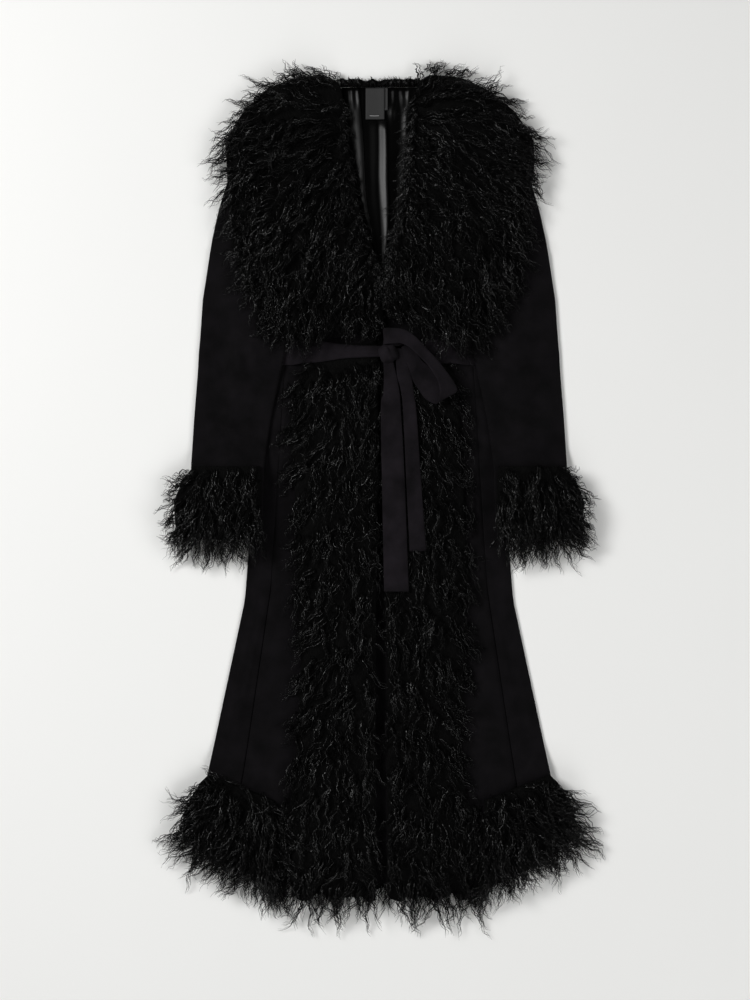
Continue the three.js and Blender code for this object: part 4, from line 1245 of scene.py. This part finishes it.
def makeBeltAcross(side, withPieces=()):
    # from the knot over the fur band, down to the front panel and round the body's edge to the back
    sign, look, steps = signs[side], beltAcross[side], 90
    edge, bandEdge = float(bodyHalf(belt["y"])), float(np.abs(read(bandRows[side], "outer", belt["y"])))
    knotX, full, underneath = look["knotX"], belt["width"] / 2, belt["thickness"] / 2
    rises = (3.5, look["lift"] + 1.2, look["lift"], 0)
    route = along([
        *((mix(knotX, bandEdge, share), beltOnBand + rise, half)
          for share, rise, half in zip((0, 0.2, 0.5, 0.8), rises, look["halves"])),
        (bandEdge + 8, beltOnBand, full), (bandEdge + 17, mix(beltOnBand, beltOnFront, 0.5), full),
        (bandEdge + 26, beltOnFront, full), (edge, beltOnFront, full), (edge + 4.8, beltOnFront - 1.6, full),
        (edge + 6.2, mix(beltOnFront, underneath, 0.5), full), (edge + 4.8, underneath + 1.2, full),
        (edge + 1, underneath, full), (edge - 3.6, underneath, full),
    ], steps)
    x, z, halves = route.T
    y = belt["y"] + 2.0 - 2.0 * smooth(x, bandEdge, bandEdge + 20)
    fade = smooth(-x, -bandEdge, -knotX)[:, None]
    gather = lambda across: look["gather"] * fade * np.cos(across[None, :] * 9 + 1.0 + sign)
    beltPiece(
        f"belt_across_{side}", np.stack([sign * x, y, z], -1), (0, 1, 0), halves, gather,
        f"belt_front_{side}")


endRows = {
    "long": table(
        "x y z half",
        (14, 209, 24.5, 7.5), (17, 184, 27.2, 10), (18.5, 160, 26.8, 12.5), (17.5, 140, 26.6, 15),
        (21, 40, 26.4, 17), (26, -134, 26.3, 18.5),
    ),
    "short": table(
        "x y z half",
        (30, 228, 25.0, 6), (33, 207, 26.2, 8), (37.5, 186, 27.6, 10.5), (42, 164, 27.4, 9.5),
        (46, 130, 27.1, 10), (51, 40, 27.0, 11), (58, -74, 26.9, 12.5),
    ),
}
endRidges = {"long": 4.2, "short": 3.0}


def routeOf(rows, steps):
    # a smooth route through a table's rows, with all its columns
    return along(np.stack(list(rows.values()), -1), steps)


def makeBeltEnd(name):
    # a soft crease along the hanging end, deepest under the knot
    count = 70
    route = routeOf(endRows[name], count)
    steps = np.linspace(0, 1, count)[:, None]
    fade = 1.1 * (0.25 + 0.75 * np.exp(-steps * 3.2))
    fold = lambda across: fade * np.cos(across * endRidges[name] + 0.6) + 0.4 * np.sin(steps * 21 + across)
    beltPiece(
        f"belt_tail_{name}", route[:, :3], (1, 0, 0), route[:, 3], fold,
        f"belt_end_{name}")


# the bow from the wrap over the knot, out along its upper pass, round and back underneath: the middle of
# the strip, half its width, the way its width points in the plan and how far that tilts, both in degrees
bowRows = table(
    "x y z half turn tilt",
    (11, 245, 24, 11.5, 90, 0), (7.5, 245.5, 30, 12, 90, 0), (12, 246, 35, 12, 90, 0),
    (24, 246, 37, 11.5, 86, 0), (36, 244.5, 38, 10.5, 72, -4), (50, 236, 39, 9.5, 54, -14),
    (66, 220, 39.5, 9, 46, -24), (81, 204, 39.5, 9.5, 42, -28), (93, 187, 39, 10.5, 39, -24),
    (100, 172, 37.5, 13, 35, -16), (102, 161, 34.5, 16, 32, -6), (100, 155, 31, 17.5, 31, 0),
    (94, 157, 28.3, 19, 31, 0), (84, 165, 27.2, 19.5, 34, 0), (74, 178, 27, 19, 36, 0),
    (64, 189, 27, 16.5, 36, 0), (54, 203, 27.4, 12.5, 34, 0), (46, 219, 28, 10, 32, 0),
    (40, 234, 29, 8, 32, 0),
)
bowTurn = 11  # the row where the lower pass starts


def makeBow():
    count = 150
    route = routeOf(bowRows, count)
    turn, tilt = np.radians(route[:, 4]), np.radians(route[:, 5])
    sideways = np.stack([np.cos(turn) * np.cos(tilt), np.sin(turn) * np.cos(tilt), np.sin(tilt)], -1)
    # a soft ridge runs the length of the strip, highest at the knot, and both edges turn down
    fade = 0.45 * (1 + np.exp(-4 * np.linspace(0, 1, count)[:, None]))
    beltPiece(
        "belt_bow", route[:, :3], sideways, route[:, 3], lambda across: fade * np.cos(across * 3.2 + 0.5),
        "belt_loop")


knotLumps = [
    {"at": (13.5, 221, 25), "half": (13.5, 14.0, 10.5), "turn": 0.25, "ribs": 2.5, "groove": 0.20},
    {"at": (24.0, 243, 25), "half": (14.0, 11.0, 8.5), "turn": 0.0, "ribs": 0.6, "groove": 0.0},
]


def knotLump(name, lump):
    # a rounded block: a ball drawn out towards a box, whose surface is ribbed along the winding
    around, levels = 40, 23
    theta, phi = np.meshgrid(np.arange(around) / around * math.tau, np.linspace(0, math.pi, levels + 2)[1:-1])
    ball = np.stack([np.cos(theta) * np.sin(phi), np.sin(theta) * np.sin(phi), np.cos(phi)], -1)
    square = power(ball, 0.72)
    x, y, z = square[..., 0], square[..., 1], square[..., 2]
    rib = 1 + 0.045 * np.cos(x * math.pi * lump["ribs"] + 1.2 * y)
    # a crease from the lump's top right curves down through its middle
    crease = bell(x - 0.35 + 0.5 * (y - 0.2) ** 2, 0, 0.16) * smooth(z, 0.2, 0.8) * smooth(y, -0.5, 0.2)
    points = square * np.array(lump["half"]) * (rib - lump["groove"] * crease)[..., None]
    c, s = math.cos(lump["turn"]), math.sin(lump["turn"])
    points = points @ np.array([[c, s, 0], [-s, c, 0], [0, 0, 1]]) + np.array(lump["at"])
    return ringPiece(name, points, points[[0, -1]].mean(1), beltCloth)


def makeKnot():
    # two lumps: the knot, and the wrap above it
    made = [knotLump(f"belt_knot_{number}", lump) for number, lump in enumerate(knotLumps, 1)]
    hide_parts("belt_knot")
    return made


def paintLids():
    # the hanging ends and the bow's lower pass press the fur under them down, a little past their edges
    lower = {name: column[bowTurn:] for name, column in bowRows.items()}
    runs = [(routeOf(rows, 1500), (1.0, 0.0)) for rows in endRows.values()]
    runs.append((routeOf(lower, 600), (0.82, 0.57)))
    across = np.linspace(-1, 1, 61)
    for route, way in runs:
        x, y, z, half = (route[:, [column]] for column in range(4))
        reach = across * (half + 6.0)
        lidMap.paint(x + reach * way[0], y + reach * way[1], z - belt["thickness"] / 2 - 0.8 + 0 * reach)


def paintBelt():
    # the belt across both fronts, for the collar's hair to lie on
    x, y = grid((0, 190), 190, (204, 240), 40)
    for sign in (-1, 1):
        clothMap.paint(sign * x, y, np.where(x < 120, beltOnBand, beltOnFront) + 1.6)


# Order of work
makeHemBack()
makeBeltBehind()
makeBack()
for side in signs:
    makeFront(side)
    makeSide(side)
    makeSleeve(side)
print("wool panels made")
makeLining()
makeLabel()
makeHangingLoop()
print("lining made")
paintCloth()
paintLids()
for side in signs:
    makeBand(side)
    makeHem(side)
    makeCuff(side)
print("bands, hem and cuffs made")
makeBeltAcross("left", makeKnot())
makeBeltAcross("right")
for end in endRows:
    makeBeltEnd(end)
makeBow()
paintBelt()
makeCollarBack()
for side in signs:
    makeCollar(side)
print("belt and collar made")

# Floor, light and camera
bpy.ops.mesh.primitive_plane_add(size=30)
floor = bpy.context.object
floor.name = "stage_floor"
floor.location = (0, 0, -0.0005)
floor.data.materials.append(floorMaterial("floor"))

lights = {
    "key": {"at": (-2.3, 1.1, 2.6), "size": 1.5, "power": 111},
    "fill": {"at": (2.6, -0.4, 2.7), "size": 2.2, "power": 52},
    "low": {"at": (0.2, -2.9, 2.4), "size": 2.2, "power": 34},
}
place = bpy.context.scene.collection.objects
for name, light in lights.items():
    data = bpy.data.lights.new(name, "AREA")
    data.size, data.energy = light["size"], light["power"]
    lamp = bpy.data.objects.new(name, data)
    lamp.location = light["at"]
    towards = -np.array(light["at"]) / np.linalg.norm(light["at"])
    lamp.rotation_euler = (math.acos(-towards[2]), 0, math.atan2(towards[1], towards[0]) - math.pi / 2)
    place.link(lamp)

world = bpy.data.worlds.new("studio")
world.use_nodes = True
background = world.node_tree.nodes["Background"]
background.inputs["Color"].default_value = (1.0, 1.0, 0.99, 1.0)
background.inputs["Strength"].default_value = 0.06
bpy.context.scene.world = world
bpy.context.scene.view_settings.view_transform = "Standard"

camera = {"lens": 85.0, "sensor": 36.0}
heightOfView = layout["photoHeight"] * layout["mmPerPixel"] / 1000
aimX = ((layout["photoWidth"] / 2 - layout["middlePixelX"]) * layout["mmPerPixel"] + shiftX) / 1000
aimY = ((layout["middlePixelY"] - layout["photoHeight"] / 2) * layout["mmPerPixel"] + shiftY) / 1000
eye = bpy.data.cameras.new("camera")
eye.lens, eye.sensor_width, eye.clip_end = camera["lens"], camera["sensor"], 50
viewer = bpy.data.objects.new("camera", eye)
viewer.location = (aimX, aimY, heightOfView * camera["lens"] / camera["sensor"])
place.link(viewer)
bpy.context.scene.camera = viewer
print("stage made")

bpy.context.view_layer.update()
meshes = [thing.data for thing in bpy.context.scene.objects if thing.type == "MESH" and not thing.hide_render]
print("triangles", sum(len(mesh.loops) - 2 * len(mesh.polygons) for mesh in meshes))
